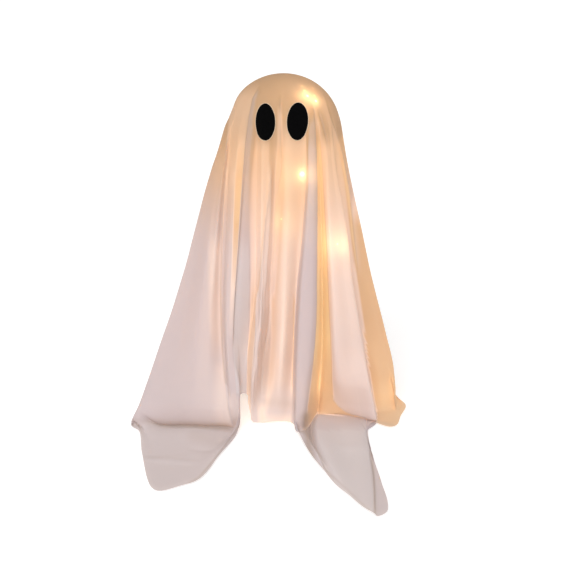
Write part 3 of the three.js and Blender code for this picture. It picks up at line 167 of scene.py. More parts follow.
# how open each fold is to the lamps, at the head and at the floor: (fold line, how far on to the next, high, low)
OPEN = [("sl", 0, 0.20, 0.0), ("pa", 0, 0.08, 0.0), ("pb", 0, 0.10, 0.0), ("pc", 0, 0.30, 0.02), ("pc", 0.75, 0.50, 0.16), ("f1", 0.12, 0.50, 0.16),
        ("f1", 0.35, 0.20, 0.05), ("f1", 0.6, 0.38, 0.12), ("f1r", 0, 0.45, 0.08), ("f1r", 0.6, 0.55, 0.06), ("f2", 0, 0.10, 0.0), ("f2g", 0.2, 0.04, 0.0),
        ("f2g", 0.7, 0.35, 0.40), ("f3", 0, 0.60, 0.80), ("f3q", 0, 0.55, 0.45), ("f3r", 0, 0.45, 0.15), ("f3r", 0.5, 0.15, 0.12), ("f3r", 0.8, 0.40, 0.35),
        ("f5", 0, 0.84, 0.45), ("f5", 0.5, 0.80, 0.40), ("cp", 0, 0.62, 0.36), ("cp", 0.6, 0.62, 0.42), ("cp", 0.92, 0.55, 0.42), ("g11", 0.1, 0.10, 0.02),
        ("r1l", 0, 0.04, 0.0), ("r1r", 0, 0.06, 0.04), ("r1r", 0.30, 0.20, 0.25), ("r1r", 0.50, 1.0, 1.0), ("v2", 0.8, 1.0, 1.0), ("v2b", 0.5, 0.55, 0.60),
        ("p3l", 0, 0.45, 0.36), ("p3m", 0, 0.42, 0.26), ("p3r", 0, 0.55, 0.22), ("p3x", 0, 0.80, 0.60), ("v4", 0, 0.82, 0.84), ("v4b", 0, 0.82, 0.84),
        ("v4c", 0, 0.82, 0.84), ("sr", 0, 0.80, 0.75), ("b1", 0, 0.8, 0.8), ("b2", 0, 0.4, 0.2), ("b3", 0, 0.8, 0.8), ("b4", 0, 0.3, 0.1), ("b5", 0, 0.8, 0.7), ("b6", 0, 0.3, 0.1),
        ("b7", 0, 0.8, 0.6), ("b8", 0, 0.25, 0.05), ("b9", 0, 0.7, 0.5), ("b10", 0, 0.2, 0.05), ("b11", 0, 0.6, 0.4), ("b12", 0, 0.2, 0.03),
        ("b13", 0, 0.2, 0.03), ("b14", 0, 0.6, 0.4), ("b15", 0, 0.2, 0.04), ("b16", 0, 0.5, 0.3)]
# lamps that lie close behind the cloth: x, forward, z, strength
LIT = [(30, 60, 330, 0.8), (-2.5, 57, 281, 0.8), (69.9, 45, 244, 0.9), (36, 40, 427, 1.2), (27, 42, 432, 0.8), (139, 13, 19, 0.5), (39, 29, 42, 0.6)]
# painted glow of the lamp spots that show through the front, emitted by the cloth: where each is seen (576 frame), core
# and glow radius in mm, core and glow strength
SPOTS = [(307.5, 95.8, 2.0, 5.5, 0.95, 0.22), (316, 101, 1.8, 5.0, 0.9, 0.22), (304.6, 90.8, 1.8, 5.0, 0.42, 0.20), (302, 86.2, 1.6, 5, 0.20, 0.16), (314.4, 95.5, 1.4, 4.5, 0.40, 0.12),
         (312.8, 88, 1.5, 5, 0.08, 0.08), (302, 174, 2.9, 11, 1.1, 0.30), (295, 173, 5, 17, 0.0, 0.13), (281.3, 219, 1.2, 5, 0.5, 0.07), (286, 228, 5, 15, 0.0, 0.10),
         (337.5, 244, 1.6, 15, 0.55, 0.20), (334, 236, 5, 20, 0.0, 0.13), (390, 391, 8, 26, 0.0, 0.05), (312, 388, 5, 16, 0.0, 0.10)]
ROUTE = [
    (21, -18.5, 104.5), (27, -18.5, 104.5), (34, -18.5, 104.5), (47, -14, 96), (70, -2, 70),
    (97, 1, 42), (120, 8.5, 28), (139.5, 13, 19), (142, 15, 23.5), (133, 14, 30),
    (112, 8, 38), (90, 9, 43), (64, 26, 43), (39, 29, 42), (18, 44, 48),
    (0, 46, 58), (-20, 32, 78), (-44, 20, 100), (-46, -4, 122), (-30, -18, 143),
    (-8, -12.5, 160), (8, -12.5, 168), (36, -22, 182), (58, -4, 202), (68, 22, 226),
    (69.9, 45, 243.9), (61, 43.3, 250.5), (43, 40.5, 258), (20, 50, 269), (-2.5, 57, 281.1),
    (-18, 50, 287), (-38, 30, 293), (-44, 2, 300), (-28, -16, 308), (-8, -12.5, 315),
    (8, -12.5, 321), (32, -14, 328), (42, 8, 333), (40, 40, 337), (23.2, 63, 341.2),
    (4, 56, 346), (-18, 42, 352), (-34, 10, 358), (-20, -24, 363), (14, -30, 366),
    (38, -10, 368), (45, 22, 367), (45.6, 40.5, 368), (47.6, 46.3, 372.6), (47.3, 46.4, 384),
    (46.5, 46.5, 399), (43.3, 43.6, 414), (35.9, 40.5, 427.2), (26.7, 41.5, 432.3), (18.5, 34, 440),
    (12, 25, 445.8), (6, 14, 449.3),
]
BEADS = [
    (139.5, 13, 19), (39, 29, 42), (69.9, 45, 243.9), (-2.5, 57, 281.1), (23.2, 63, 341.2),
    (35.9, 40.5, 427.2), (26.7, 41.5, 432.3), (70, -2, 70), (-30, -18, 143), (36, -22, 182),
    (-44, 2, 300), (32, -14, 328), (-20, -24, 363), (38, -10, 368), (-44, 20, 100),
]

def hermite(xq, xs, ys):
    """Smooth curve through (xs, ys), xs rising; ys may have columns."""
    xs = np.asarray(xs, float); ys = np.asarray(ys, float)
    d = np.diff(xs); m = np.diff(ys, axis=0) / (d[:, None] if ys.ndim > 1 else d)
    t = np.empty_like(ys)
    t[1:-1] = (m[:-1] + m[1:]) / 2
    t[0], t[-1] = m[0], m[-1]
    xq = np.clip(xq, xs[0], xs[-1])
    i = np.clip(np.searchsorted(xs, xq) - 1, 0, len(xs) - 2)
    h = d[i]; s = (xq - xs[i]) / h
    if ys.ndim > 1:
        h = h[:, None]; s = s[:, None]
    return ((2 * s**3 - 3 * s**2 + 1) * ys[i] + (s**3 - 2 * s**2 + s) * h * t[i]
            + (-2 * s**3 + 3 * s**2) * ys[i + 1] + (s**3 - s**2) * h * t[i + 1])


def value_noise(x, y, seed):
    """Smooth repeatable noise in -1..1."""
    xi = np.floor(x).astype(np.int64); yi = np.floor(y).astype(np.int64)
    xf = x - xi; yf = y - yi
    def h(a, b):
        n = (a * 374761393 + b * 668265263 + seed * 1442695041) & 0x7FFFFFFF
        n = ((n ^ (n >> 13)) * 1274126177) & 0x7FFFFFFF
        return ((n ^ (n >> 16)) & 0xFFFF) / 32767.5 - 1
    u = xf * xf * xf * (xf * (xf * 6 - 15) + 10); v = yf * yf * yf * (yf * (yf * 6 - 15) + 10)
    return ((h(xi, yi) * (1 - u) + h(xi + 1, yi) * u) * (1 - v)
            + (h(xi, yi + 1) * (1 - u) + h(xi + 1, yi + 1) * u) * v)


ZA = 56.0                        # above this height rows are level; below it they follow each fold line
N_DOME, N_BODY, N_LOW = 26, 92, 84
FEET = ("sl", "sa", "pa", "pb", "pb2", "pc", "f1", "f1r", "f2", "r1l", "r1r", "v2", "v2b", "p3l", "p3m", "p3n", "p3r", "p3x", "p3y", "b11", "b12", "b13")
CREASE = {"sl": 5, "sa": 7, "pa": 7.5, "pb": 8, "pb2": 8, "pc": 8, "f1": 7, "p3l": 5, "p3m": 7, "p3n": 6, "p3r": 5}


def column(entry):
    """A fold line as dense points (x, forward, z, lying on the floor 0..1): dome, level body rows, then the stretch down to the hem."""
    name, hem, body, flap = entry
    z = np.array([EQ - (EQ - hem) * s for s in BODY_S])
    xf = np.array(body, float)
    r0 = math.hypot(*xf[0])
    lat = np.radians(np.linspace(90, 0, N_DOME, endpoint=False))[1:]
    rr = RAD * np.cos(lat) + (r0 - RAD) * np.cos(lat) ** 70
    dome = np.stack([xf[0, 0] / r0 * rr, xf[0, 1] / r0 * rr, EQ + (TOP - EQ) * np.sin(lat)], 1)
    order = np.argsort(z)
    zb = np.linspace(EQ, ZA, N_BODY)
    body_pts = np.concatenate([hermite(zb, z[order], xf[order]), zb[:, None]], 1)
    start = hermite(np.array([ZA]), z[order], xf[order])[0]
    low = [[*start, ZA]] + [[xf[i, 0], xf[i, 1], z[i]] for i in range(len(z)) if z[i] < ZA - 8]
    if flap:
        contact = len(low)
        if name in CREASE:           # the hanging part bulges over the fold that lies on the floor
            back = CREASE[name]
            x, f, _ = low[-1]
            low[-1] = [x, f + 1.0, 7.0]
            low.append([x, f - back * 0.75, 3.2]); low.append([x, f - back * 0.8, 1.7]); low.append([x, f - back * 0.1, 2.0])
        low += [list(p) for p in flap]
    low = np.array(low, float)
    s = np.concatenate([[0], np.cumsum(np.linalg.norm(np.diff(low, axis=0), axis=1))])
    q = np.linspace(0, 1, N_LOW)[1:]
    near = min(78.0, 0.6 * s[-1])
    q = np.where(q < 0.62, q / 0.62 * near, near + (q - 0.62) / 0.38 * (s[-1] - near))
    pts = np.concatenate([dome, body_pts, hermite(q, s, low)])
    lay = np.zeros(len(pts))
    if flap and name in FEET:        # how far past the line where the cloth meets the floor
        lay[-len(q):] = np.clip((q - s[contact - 1]) / 9, 0, 1)
    return np.concatenate([pts, lay[:, None]], 1)


def around(P, sub):
    """Closed smooth curve through the 35 points of one row, sub[j] samples in each gap (centripetal)."""
    n = len(P); out = []
    for j in range(n):
        p0, p1, p2, p3 = P[j - 1], P[j], P[(j + 1) % n], P[(j + 2) % n]
        t0 = 0; t1 = t0 + max(np.linalg.norm(p1 - p0), 0.2) ** 0.5
        t2 = t1 + max(np.linalg.norm(p2 - p1), 0.2) ** 0.5; t3 = t2 + max(np.linalg.norm(p3 - p2), 0.2) ** 0.5
        t = t1 + (t2 - t1) * (np.arange(sub[j]) / sub[j])[:, None]
        a1 = (t1 - t) / (t1 - t0) * p0 + (t - t0) / (t1 - t0) * p1
        a2 = (t2 - t) / (t2 - t1) * p1 + (t - t1) / (t2 - t1) * p2
        a3 = (t3 - t) / (t3 - t2) * p2 + (t - t2) / (t3 - t2) * p3
        b1 = (t2 - t) / (t2 - t0) * a1 + (t - t0) / (t2 - t0) * a2
        b2 = (t3 - t) / (t3 - t1) * a2 + (t - t1) / (t3 - t1) * a3
        out.append((t2 - t) / (t2 - t1) * b1 + (t - t1) / (t2 - t1) * b2)
    return np.concatenate(out)


cols = np.array([column(e) for e in FOLDS])            # fold lines x rows x 4
gap = np.linalg.norm(np.roll(cols, -1, 0) - cols, axis=2)
FRONT = ("f1", "f1r", "f2", "f2h", "f2g", "f3", "f3h", "f3q", "f3r", "f5", "cp", "g11", "r1l", "r1r", "v2", "v2b", "p3l", "p3m", "p3r", "p3x", "v4")
sub = [int(np.clip(round(max(g[N_DOME + 60], g[-1] * 0.8) / (1.7 if e[0] in FRONT else 2.6)), 5, 26)) for g, e in zip(gap, FOLDS)]
grid = np.array([around(cols[:, i], sub) for i in range(cols.shape[1])])   # rows x around x 4
lying = np.clip(grid[:, :, 3], 0, 1); grid = grid[:, :, :3].copy()
# the head's left side hangs closer to the former
tuck = np.interp(grid[:, :, 2], [338, 353, 368, 384, 399, 415, 428, 440], [0, 1.3, 2.4, 3.0, 3.6, 2.6, 1.2, 0])
grid[:, :, 0] += tuck * np.clip((-grid[:, :, 0] - 38) / 30, 0, 1) ** 1.3
NR, NC = grid.shape[:2]
NAMES = [e[0] for e in FOLDS]
first = np.concatenate([[0], np.cumsum(sub)])                             # first sample of each fold line
place = np.concatenate([j + np.arange(sub[j]) / sub[j] for j in range(len(sub))])   # fold line number of each sample

# soften where the cloth leaves the head
for _ in range(6):
    lo, hi = N_DOME - 5, N_DOME + 9
    w = np.sin(np.linspace(0, math.pi, hi - lo))[:, None, None] ** 0.5
    g = grid[lo:hi]
    grid[lo:hi] = g + w * 0.5 * ((grid[lo - 1:hi - 1] + grid[lo + 1:hi + 1]) / 2 - g)


def normals(g):
    du = np.roll(g, -1, 1) - np.roll(g, 1, 1)
    dv = np.empty_like(g); dv[1:-1] = g[2:] - g[:-2]; dv[0] = g[1] - g[0]; dv[-1] = g[-1] - g[-2]
    n = np.cross(du, dv)
    return n / np.maximum(np.linalg.norm(n, axis=2, keepdims=True), 1e-9)


# the folds run up over the head and fade out above the eyes
row = N_DOME + int(np.argmin(np.abs(np.linspace(EQ, ZA, N_BODY) - 338))) - 1
rr = np.hypot(grid[row, :, 0], grid[row, :, 1])
kern = np.exp(-0.5 * (np.arange(-60, 61) / 26.0) ** 2); kern /= kern.sum()
mean = np.convolve(np.concatenate([rr[-60:], rr, rr[:60]]), kern, "valid")
dev = np.clip(rr - mean, -4, 4) * np.clip((np.abs(grid[N_DOME, :, 1]) - 22) / 22, 0, 1)     # not at the sides
zz = grid[:, :, 2]
carry = np.where(zz > EQ, np.clip((440 - zz) / (440 - EQ), 0, 1) ** 1.3, np.clip((zz - 290) / (EQ - 290), 0, 1)) * HEAD_FOLD
hn = np.hypot(grid[:, :, 0], grid[:, :, 1])
k = 1 + carry * dev[None, :] / np.maximum(hn, 20)
grid[:, :, 0] *= k; grid[:, :, 1] *= k

# run lengths: along each line from the crown, and round the cloth
along = np.concatenate([np.zeros((1, NC)), np.cumsum(np.linalg.norm(np.diff(grid, axis=0), axis=2), axis=0)]) + 3
to_hem = along[-1] - along
step = np.linalg.norm(np.roll(grid, -1, 1) - grid, axis=2)
round_u = np.cumsum(step.mean(0)) * 1.0
low = np.clip((EQ - grid[:, :, 2]) / EQ, 0, 1)

# where a point is: down the hanging part (0 head, 1 floor), and on the lying corners
n = normals(grid)
U = np.broadcast_to(round_u, (NR, NC)); Vv = along
level = np.clip((EQ - grid[:, :, 2]) / EQ, 0, 1)
behind = np.clip((-grid[:, :, 1] - 5) / 40, 0, 1)              # 1 on the side away from the eyes


def bump_at(name, t, half):
    """1 on a line that runs down the cloth t of the way past a fold line, falling to 0 at half mm to each side."""
    j = NAMES.index(name) + t
    k = int(round(np.interp(j, np.append(place, len(sub)), np.arange(NC + 1)))) % NC
    away = np.abs(np.arange(NC) - k); away = np.minimum(away, NC - away)
    mm = np.zeros((NR, NC))
    for side in (1, -1):
        q = np.cumsum(np.roll(step if side > 0 else np.roll(step, 1, 1)[:, ::-1], -k if side > 0 else -(NC - 1 - k), 1), 1)
        run = np.concatenate([np.zeros((NR, 1)), q[:, :-1]], 1)
        idx = (k + side * np.arange(NC)) % NC
        half_n = NC // 2
        mm[:, idx[:half_n]] = run[:, :half_n] * side
    return np.clip(1 - np.abs(mm) / half, 0, 1), mm


def framed(g):
    """Where each point is seen in the 576 frame, and how far it is from the camera, mm."""
    dx, dy, dz = g[:, :, 0] - 5.76, 1280 - g[:, :, 1], g[:, :, 2] - 640
    c, s = math.cos(math.radians(20.3)), math.sin(math.radians(20.3))
    deep = dy * c - dz * s
    return 288 + 1000 * dx / deep, 288 - 1000 * (dy * s + dz * c) / deep, deep


pu, pv, deep = framed(grid)
facing = (n * np.stack([np.zeros((NR, NC)), np.full((NR, NC), 0.94), np.full((NR, NC), 0.35)], 2)).sum(2)
line_light = np.zeros((NR, NC)); line_high = np.zeros((NR, NC)); painted_shade = np.zeros((NR, NC))
front = (facing > 0.05) * (grid[:, :, 1] > 0)
for spots, left, right, high, light_l, light_r, dark in LINES:
    lv = np.array([q[1] for q in spots], float); lu = np.array([q[0] for q in spots], float)
    at_u = np.interp(pv, lv, lu)
    mm = (pu - at_u) * deep / 1000 / np.clip(facing, 0.45, 1)
    fade = np.clip(np.minimum((pv - lv[0]) / 14, (lv[-1] - pv) / 20), 0, 1); fade = fade * fade * (3 - 2 * fade)
    fade = fade * front
    tl = np.clip(1 + mm / left, 0, 1) * (mm <= 0); tr = np.clip(1 - mm / right, 0, 1) * (mm > 0)
    line_high += high * (tl ** 1.7 + tr ** 1.7) * fade
    ll = np.clip(1 + mm / (left + 3), 0, 1) * np.clip(0.5 - mm / 1.4, 0, 1); lr = np.clip(1 - mm / (max(right, 5) + 3), 0, 1) * np.clip(0.5 + mm / 1.4, 0, 1)
    line_light += (light_l * ll + light_r * lr) * fade
    painted_shade = np.maximum(painted_shade, dark * np.exp(-(((mm - 0.7) / 1.5) ** 2)) * fade)
for spots, half, dark in SHADES:
    away = np.full((NR, NC), 1e9)
    for (u0, v0), (u1, v1) in zip(spots, spots[1:]):
        s = np.clip(((pu - u0) * (u1 - u0) + (pv - v0) * (v1 - v0)) / ((u1 - u0) ** 2 + (v1 - v0) ** 2), 0, 1)
        away = np.minimum(away, np.hypot(pu - u0 - s * (u1 - u0), pv - v0 - s * (v1 - v0)) * deep / 1000)
    painted_shade = np.maximum(painted_shade, dark * np.exp(-((away / half) ** 2)) * (grid[:, :, 1] > 0))
band_on = np.zeros((NR, NC)); band_v = np.zeros((NR, NC))
for rows, soft_l, soft_r in BANDS:
    ry = np.array([q[0] for q in rows], float)
    xl, xr, val = (np.interp(pv, ry, np.array([q[k] for q in rows], float)) for k in (1, 2, 3))
    m = np.clip((pu - xl) / soft_l + 0.5, 0, 1) * np.clip((xr - pu) / soft_r + 0.5, 0, 1)
    m = m * m * (3 - 2 * m)
    m *= np.clip(np.minimum((pv - ry[0]) / 16 + 0.3, (ry[-1] - pv) / 10 + 1), 0, 1) * front
    band_v = band_v * (1 - m) + val * m; band_on = band_on * (1 - m) + m

# small wrinkles: long and narrow on the hanging part, broad on the lying corners
w1 = value_noise(U / 12.0, Vv / 120.0, 3) * 0.8 + value_noise(U / 6.0, Vv / 80.0, 9) * 0.25
w2 = value_noise(U / 30.0, Vv / 42.0, 5)
w3 = value_noise(U / 17.0, Vv / 260.0, 21) + 0.6 * value_noise(U / 9.0, Vv / 200.0, 27)
amp = np.clip(level * 1.6, 0, 1) ** 0.8
d = w1 * amp * (1 - lying) * (0.3 + 0.5 * behind) + w2 * (0.35 * amp * (1 - lying) + 0.9 * lying)
d += behind * (1 - lying) * w3 * 5.8 * np.clip(level * 1.5, 0, 1)
# the crisp tucks of the front
for name, t, half, deep, start in (("f1", 0.30, 2.4, -2.4, 0.14), ("r1r", 0.45, 3.0, -1.4, 0.15), ("f5", -0.30, 4.0, 1.0, 0.12)):
    tent, mm = bump_at(name, t, half)
    d += deep * tent * np.clip((level - start) / 0.12, 0, 1) * np.clip((0.97 - level) / 0.2, 0, 1) * (1 - lying)
# the faint fold marks that packing leaves on the lying corner
for (xa, fa), (xb, fb), half, high in (((-176, 176), (-108, 187), 7.0, 1.5), ((-120, 150), (-88, 158), 9.0, -1.6),
                                       ((66, 150), (118, 158), 8.0, 0.8)):
    ux, uf = xb - xa, fb - fa; ll = math.hypot(ux, uf)
    px, pf = grid[:, :, 0] - xa, grid[:, :, 1] - fa
    t = (px * ux + pf * uf) / ll / ll; dist = np.abs(px * uf - pf * ux) / ll
    d += high * np.clip(1 - dist / half, 0, 1) * np.clip(np.minimum(t + 0.1, 1.1 - t) / 0.25, 0, 1) * lying
d += line_high
grid = grid + n * d[:, :, None]
grid[:, :, 2] = np.maximum(grid[:, :, 2], 0.9)

# how strongly the lamps inside light each point, painted into the cloth's colour and glow: near them and square to them
# it is warm
n = normals(grid)
keys = sorted((NAMES.index(nm) + t, hi, lo) for nm, t, hi, lo in OPEN)
kx = np.array([k[0] for k in keys]); kx = np.concatenate([[kx[-1] - len(sub)], kx, [kx[0] + len(sub)]])


def eased(v):
    """Values at the handles, eased between them, for every sample round the cloth."""
    v = np.concatenate([[v[-1]], v, [v[0]]])
    i = np.clip(np.searchsorted(kx, place, side="right") - 1, 0, len(kx) - 2)
    t = (place - kx[i]) / (kx[i + 1] - kx[i]); t = t * t * (3 - 2 * t)
    return v[i] * (1 - t) + v[i + 1] * t


hi = eased(np.array([k[1] for k in keys])); lo = eased(np.array([k[2] for k in keys]))
folded = hi[None, :] * (1 - level) + lo[None, :] * level
onset = np.clip((EQ + 22 - grid[:, :, 2]) / 70, 0, 1)
folded = folded * onset + 0.12 * (1 - onset)
near = np.zeros((NR, NC))
for lx, lf, lz, p in LIT:
    v = grid - np.array([lx, lf, lz], float); dd = np.linalg.norm(v, axis=2)
    near += p * np.clip((n * v).sum(2) / np.maximum(dd, 1e-6), 0, 1) / (1 + (dd / 24.0) ** 3)
folded = folded * (1 - band_on) + band_v
lit = folded + line_light + 0.35 * (1 - np.exp(-near)) * (1 - 0.8 * band_on)
lit = np.where(folded < 0, folded, np.maximum(lit, 0) * (1 - 0.97 * lying) - 0.010 * lying)
inner = np.clip(0.04 + 0.96 * lit, 0, 1)
print("INNER", np.percentile(inner, [1, 10, 25, 50, 75, 90, 99]).round(3))

# ---------------------------------------------------------------- meshes
def new_mesh(name, verts, faces, smooth=True):
    me = bpy.data.meshes.new(name)
    me.from_pydata([tuple(v) for v in verts], [], faces)
    me.validate(); me.update()
    if smooth:
        me.polygons.foreach_set("use_smooth", [True] * len(me.polygons))
    ob = bpy.data.objects.new(name, me)
    scene.collection.objects.link(ob)
    return ob


def world(g):
    out = np.array(g, float) * MM
    out[..., 1] *= -1
    return out


pts = world(grid).reshape(-1, 3)
crown = len(pts)
verts = np.concatenate([pts, [[0, 0, TOP * MM]]])
faces = []
for i in range(NR - 1):
    for j in range(NC):
        k = (j + 1) % NC
        faces.append((i * NC + j, (i + 1) * NC + j, (i + 1) * NC + k, i * NC + k))
faces += [(crown, j, (j + 1) % NC) for j in range(NC)]
cloth = new_mesh("ghost_cloth", verts, faces)
uv = cloth.data.uv_layers.new(name="lay")
# uv: how far down the fold line and how far from the hem, in metres
vi = np.empty(len(cloth.data.loops), np.int64); cloth.data.loops.foreach_get("vertex_index", vi)
al = np.append(along.reshape(-1), 0.0) * MM
hm = np.append(to_hem.reshape(-1), to_hem[0].mean()) * MM
uv.data.foreach_set("uv", np.stack([al[vi], hm[vi]], 1).reshape(-1))
area = sum(p.area for p in cloth.data.polygons)
print("CLOTH area", round(area, 4), "verts", len(verts))

att = cloth.data.attributes.new("lamp_light", "FLOAT", "POINT")
att.data.foreach_set("value", np.append(inner.reshape(-1), inner[0].mean()).astype(np.float32))
# painted shade of creases and valleys, kept on the cloth
att = cloth.data.attributes.new("painted_shade", "FLOAT", "POINT")
att.data.foreach_set("value", np.append(painted_shade.reshape(-1), 0.0).astype(np.float32))

# ---------------------------------------------------------------- what the camera sees at a place in its picture
tree = BVHTree.FromObject(cloth, bpy.context.evaluated_depsgraph_get())
TILT = math.radians(20.3)


def seen(u, v):
    """The cloth's point and normal at a place of the 576 frame."""
    x, y = (u - 288) / 1000, (288 - v) / 1000
    ray = Vector((x, math.cos(TILT) + y * math.sin(TILT), -math.sin(TILT) + y * math.cos(TILT))).normalized()
    hit, normal, _, _ = tree.ray_cast(cam.location, ray)
    return hit, (normal if normal.dot(ray) < 0 else -normal)


# ---------------------------------------------------------------- materials
def mat(name):
    m = bpy.data.materials.new(name); m.use_nodes = True
    nt = m.node_tree; nt.nodes.clear()
    return m, nt, nt.nodes.new("ShaderNodeOutputMaterial")


class Net:
    """Short calls for building one material's nodes."""
    def __init__(self, name):
        self.m, self.nt, self.out = mat(name)

    def node(self, kind, **kw):
        n = self.nt.nodes.new(kind)
        for k, v in kw.items():
            setattr(n, k, v)
        return n

    def link(self, a, b):
        self.nt.links.new(a, b)

    def put(self, sock, v):
        if hasattr(v, "is_linked"):
            self.link(v, sock)
        else:
            sock.default_value = v

    def math(self, op, *v, clamp=False):
        n = self.node("ShaderNodeMath", operation=op, use_clamp=clamp)
        for i, x in enumerate(v):
            self.put(n.inputs[i], x)
        return n.outputs[0]

    def ramp(self, fac, stops, mode="LINEAR"):
        n = self.node("ShaderNodeValToRGB"); n.color_ramp.interpolation = mode
        e = n.color_ramp.elements
        while len(e) < len(stops):
            e.new(0.5)
        for el, (p, c) in zip(e, stops):
            el.position = p; el.color = (*c, 1) if len(c) == 3 else c
        self.put(n.inputs[0], fac)
        return n.outputs[0]

    def mix(self, fac, a, b, blend="MIX"):
        n = self.node("ShaderNodeMix", data_type="RGBA", blend_type=blend)
        self.put(n.inputs[0], fac); self.put(n.inputs[6], a); self.put(n.inputs[7], b)
        return n.outputs[2]

    def noise(self, vec, scale, detail=3.0, rough=0.5, dist=0.0):
        n = self.node("ShaderNodeTexNoise")
        if vec is not None:
            self.link(vec, n.inputs["Vector"])
        n.inputs["Scale"].default_value = scale; n.inputs["Detail"].default_value = detail
        n.inputs["Roughness"].default_value = rough; n.inputs["Distortion"].default_value = dist
        return n.outputs[0]

    def bump(self, height, strength, distance, normal=None):
        n = self.node("ShaderNodeBump"); n.inputs["Strength"].default_value = strength
        n.inputs["Distance"].default_value = distance; self.link(height, n.inputs["Height"])
        if normal is not None:
            self.link(normal, n.inputs["Normal"])
        return n.outputs[0]

    def scaled(self, vec, s):
        n = self.node("ShaderNodeVectorMath", operation="MULTIPLY")
        self.link(vec, n.inputs[0]); n.inputs[1].default_value = s
        return n.outputs[0]


# the cloth: a thin brushed weave, cool white where nothing lights it, with warm lamp light painted into its colour and
# glow where the lamps shine through
g = Net("cloth_fabric"); m_cloth = g.m
co = g.node("ShaderNodeTexCoord"); obj = co.outputs["Object"]; uvn = g.node("ShaderNodeUVMap"); uvn.uv_map = "lay"
lamp = g.node("ShaderNodeAttribute"); lamp.attribute_name = "lamp_light"
sep = g.node("ShaderNodeSeparateXYZ"); g.link(obj, sep.inputs[0])
# painted shade: the head is painted darker and warmer than low down
height = g.node("ShaderNodeMapRange", interpolation_type="SMOOTHSTEP"); g.link(sep.outputs[2], height.inputs[0])
height.inputs[1].default_value, height.inputs[2].default_value = 0.225, 0.385
warm = lamp.outputs["Fac"]
col = g.mix(height.outputs[0], g.ramp(warm, LOW), g.ramp(warm, UP))
# painted shade: dark brown mixed into the colour along creases and valleys
painted_shade_node = g.node("ShaderNodeAttribute"); painted_shade_node.attribute_name = "painted_shade"
col = g.mix(g.math("MULTIPLY", painted_shade_node.outputs["Fac"], 0.55), col, (0.37, 0.29, 0.26, 1))
mott = g.noise(obj, 28.0, 4.0, 0.6)
col = g.mix(g.math("MULTIPLY", mott, 0.10), col, (0.50, 0.42, 0.42, 1))
bs = g.node("ShaderNodeBsdfPrincipled"); g.link(col, bs.inputs["Base Color"])
bs.inputs["Roughness"].default_value = 0.82
bs.inputs["Specular IOR Level"].default_value = 0.15; bs.inputs["Sheen Weight"].default_value = 0.05; bs.inputs["Sheen Roughness"].default_value = 0.45
weave = g.node("ShaderNodeTexVoronoi"); weave.feature = "F1"; weave.inputs["Scale"].default_value = 1500; g.link(obj, weave.inputs["Vector"])
fine = g.noise(obj, 900.0, 2.0, 0.6)
soft = g.noise(obj, 120.0, 3.0, 0.55)
b1 = g.bump(weave.outputs[0], 0.10, 0.0004)
b2 = g.bump(fine, 0.12, 0.0004, b1)
b3 = g.bump(soft, 0.14, 0.0012, b2)
g.link(b3, bs.inputs["Normal"])
# painted glow, emitted by the cloth over lamps just behind it: a small white core and a wider orange glow
glow = cores = None
for u, v, r_core, r_wide, a_core, a_wide in SPOTS:
    dv = g.node("ShaderNodeVectorMath", operation="DISTANCE"); g.link(obj, dv.inputs[0]); dv.inputs[1].default_value = tuple(seen(u, v)[0])
    for r, amount in ((r_wide, a_wide), (r_core, a_core)):
        if amount == 0:
            continue
        q = g.math("DIVIDE", dv.outputs["Value"], r * MM)
        e = g.math("MULTIPLY", g.math("POWER", 2.718, g.math("MULTIPLY", g.math("MULTIPLY", q, q), -1.0)), amount)
        if r == r_wide:
            glow = e if glow is None else g.math("ADD", glow, e)
        else:
            cores = e if cores is None else g.math("ADD", cores, e)
# painted glow: a weak warm emission all over the cloth, in step with its painted lamp light
base_glow = g.math("MULTIPLY", warm, E_WARM)
tot = g.math("ADD", g.math("ADD", glow, cores), base_glow)
ecol = g.ramp(g.math("ADD", cores, g.math("MULTIPLY", glow, 0.8), clamp=True), [(0.0, (1.0, 0.66, 0.36)), (0.35, (1.0, 0.72, 0.30)), (1.0, (1.0, 0.93, 0.66))])
g.link(ecol, bs.inputs["Emission Color"]); g.link(tot, bs.inputs["Emission Strength"])
tr = g.node("ShaderNodeBsdfTranslucent"); tr.inputs["Color"].default_value = (0.95, 0.80, 0.62, 1)
mx = g.node("ShaderNodeMixShader"); mx.inputs[0].default_value = 0.22
g.link(bs.outputs[0], mx.inputs[1]); g.link(tr.outputs[0], mx.inputs[2]); g.link(mx.outputs[0], g.out.inputs[0])
cloth.data.materials.append(m_cloth)
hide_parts("cloth")
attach(cloth, "cloth")

# ---------------------------------------------------------------- eyes: felt ovals glued on, with a stitched edge
def oval(cx, cy, a, b, tilt, k, th):
    x, y = a * k * math.cos(th), b * k * math.sin(th)
    c, s = math.cos(tilt), math.sin(tilt)
    return cx + x * c - y * s, cy - (x * s + y * c)


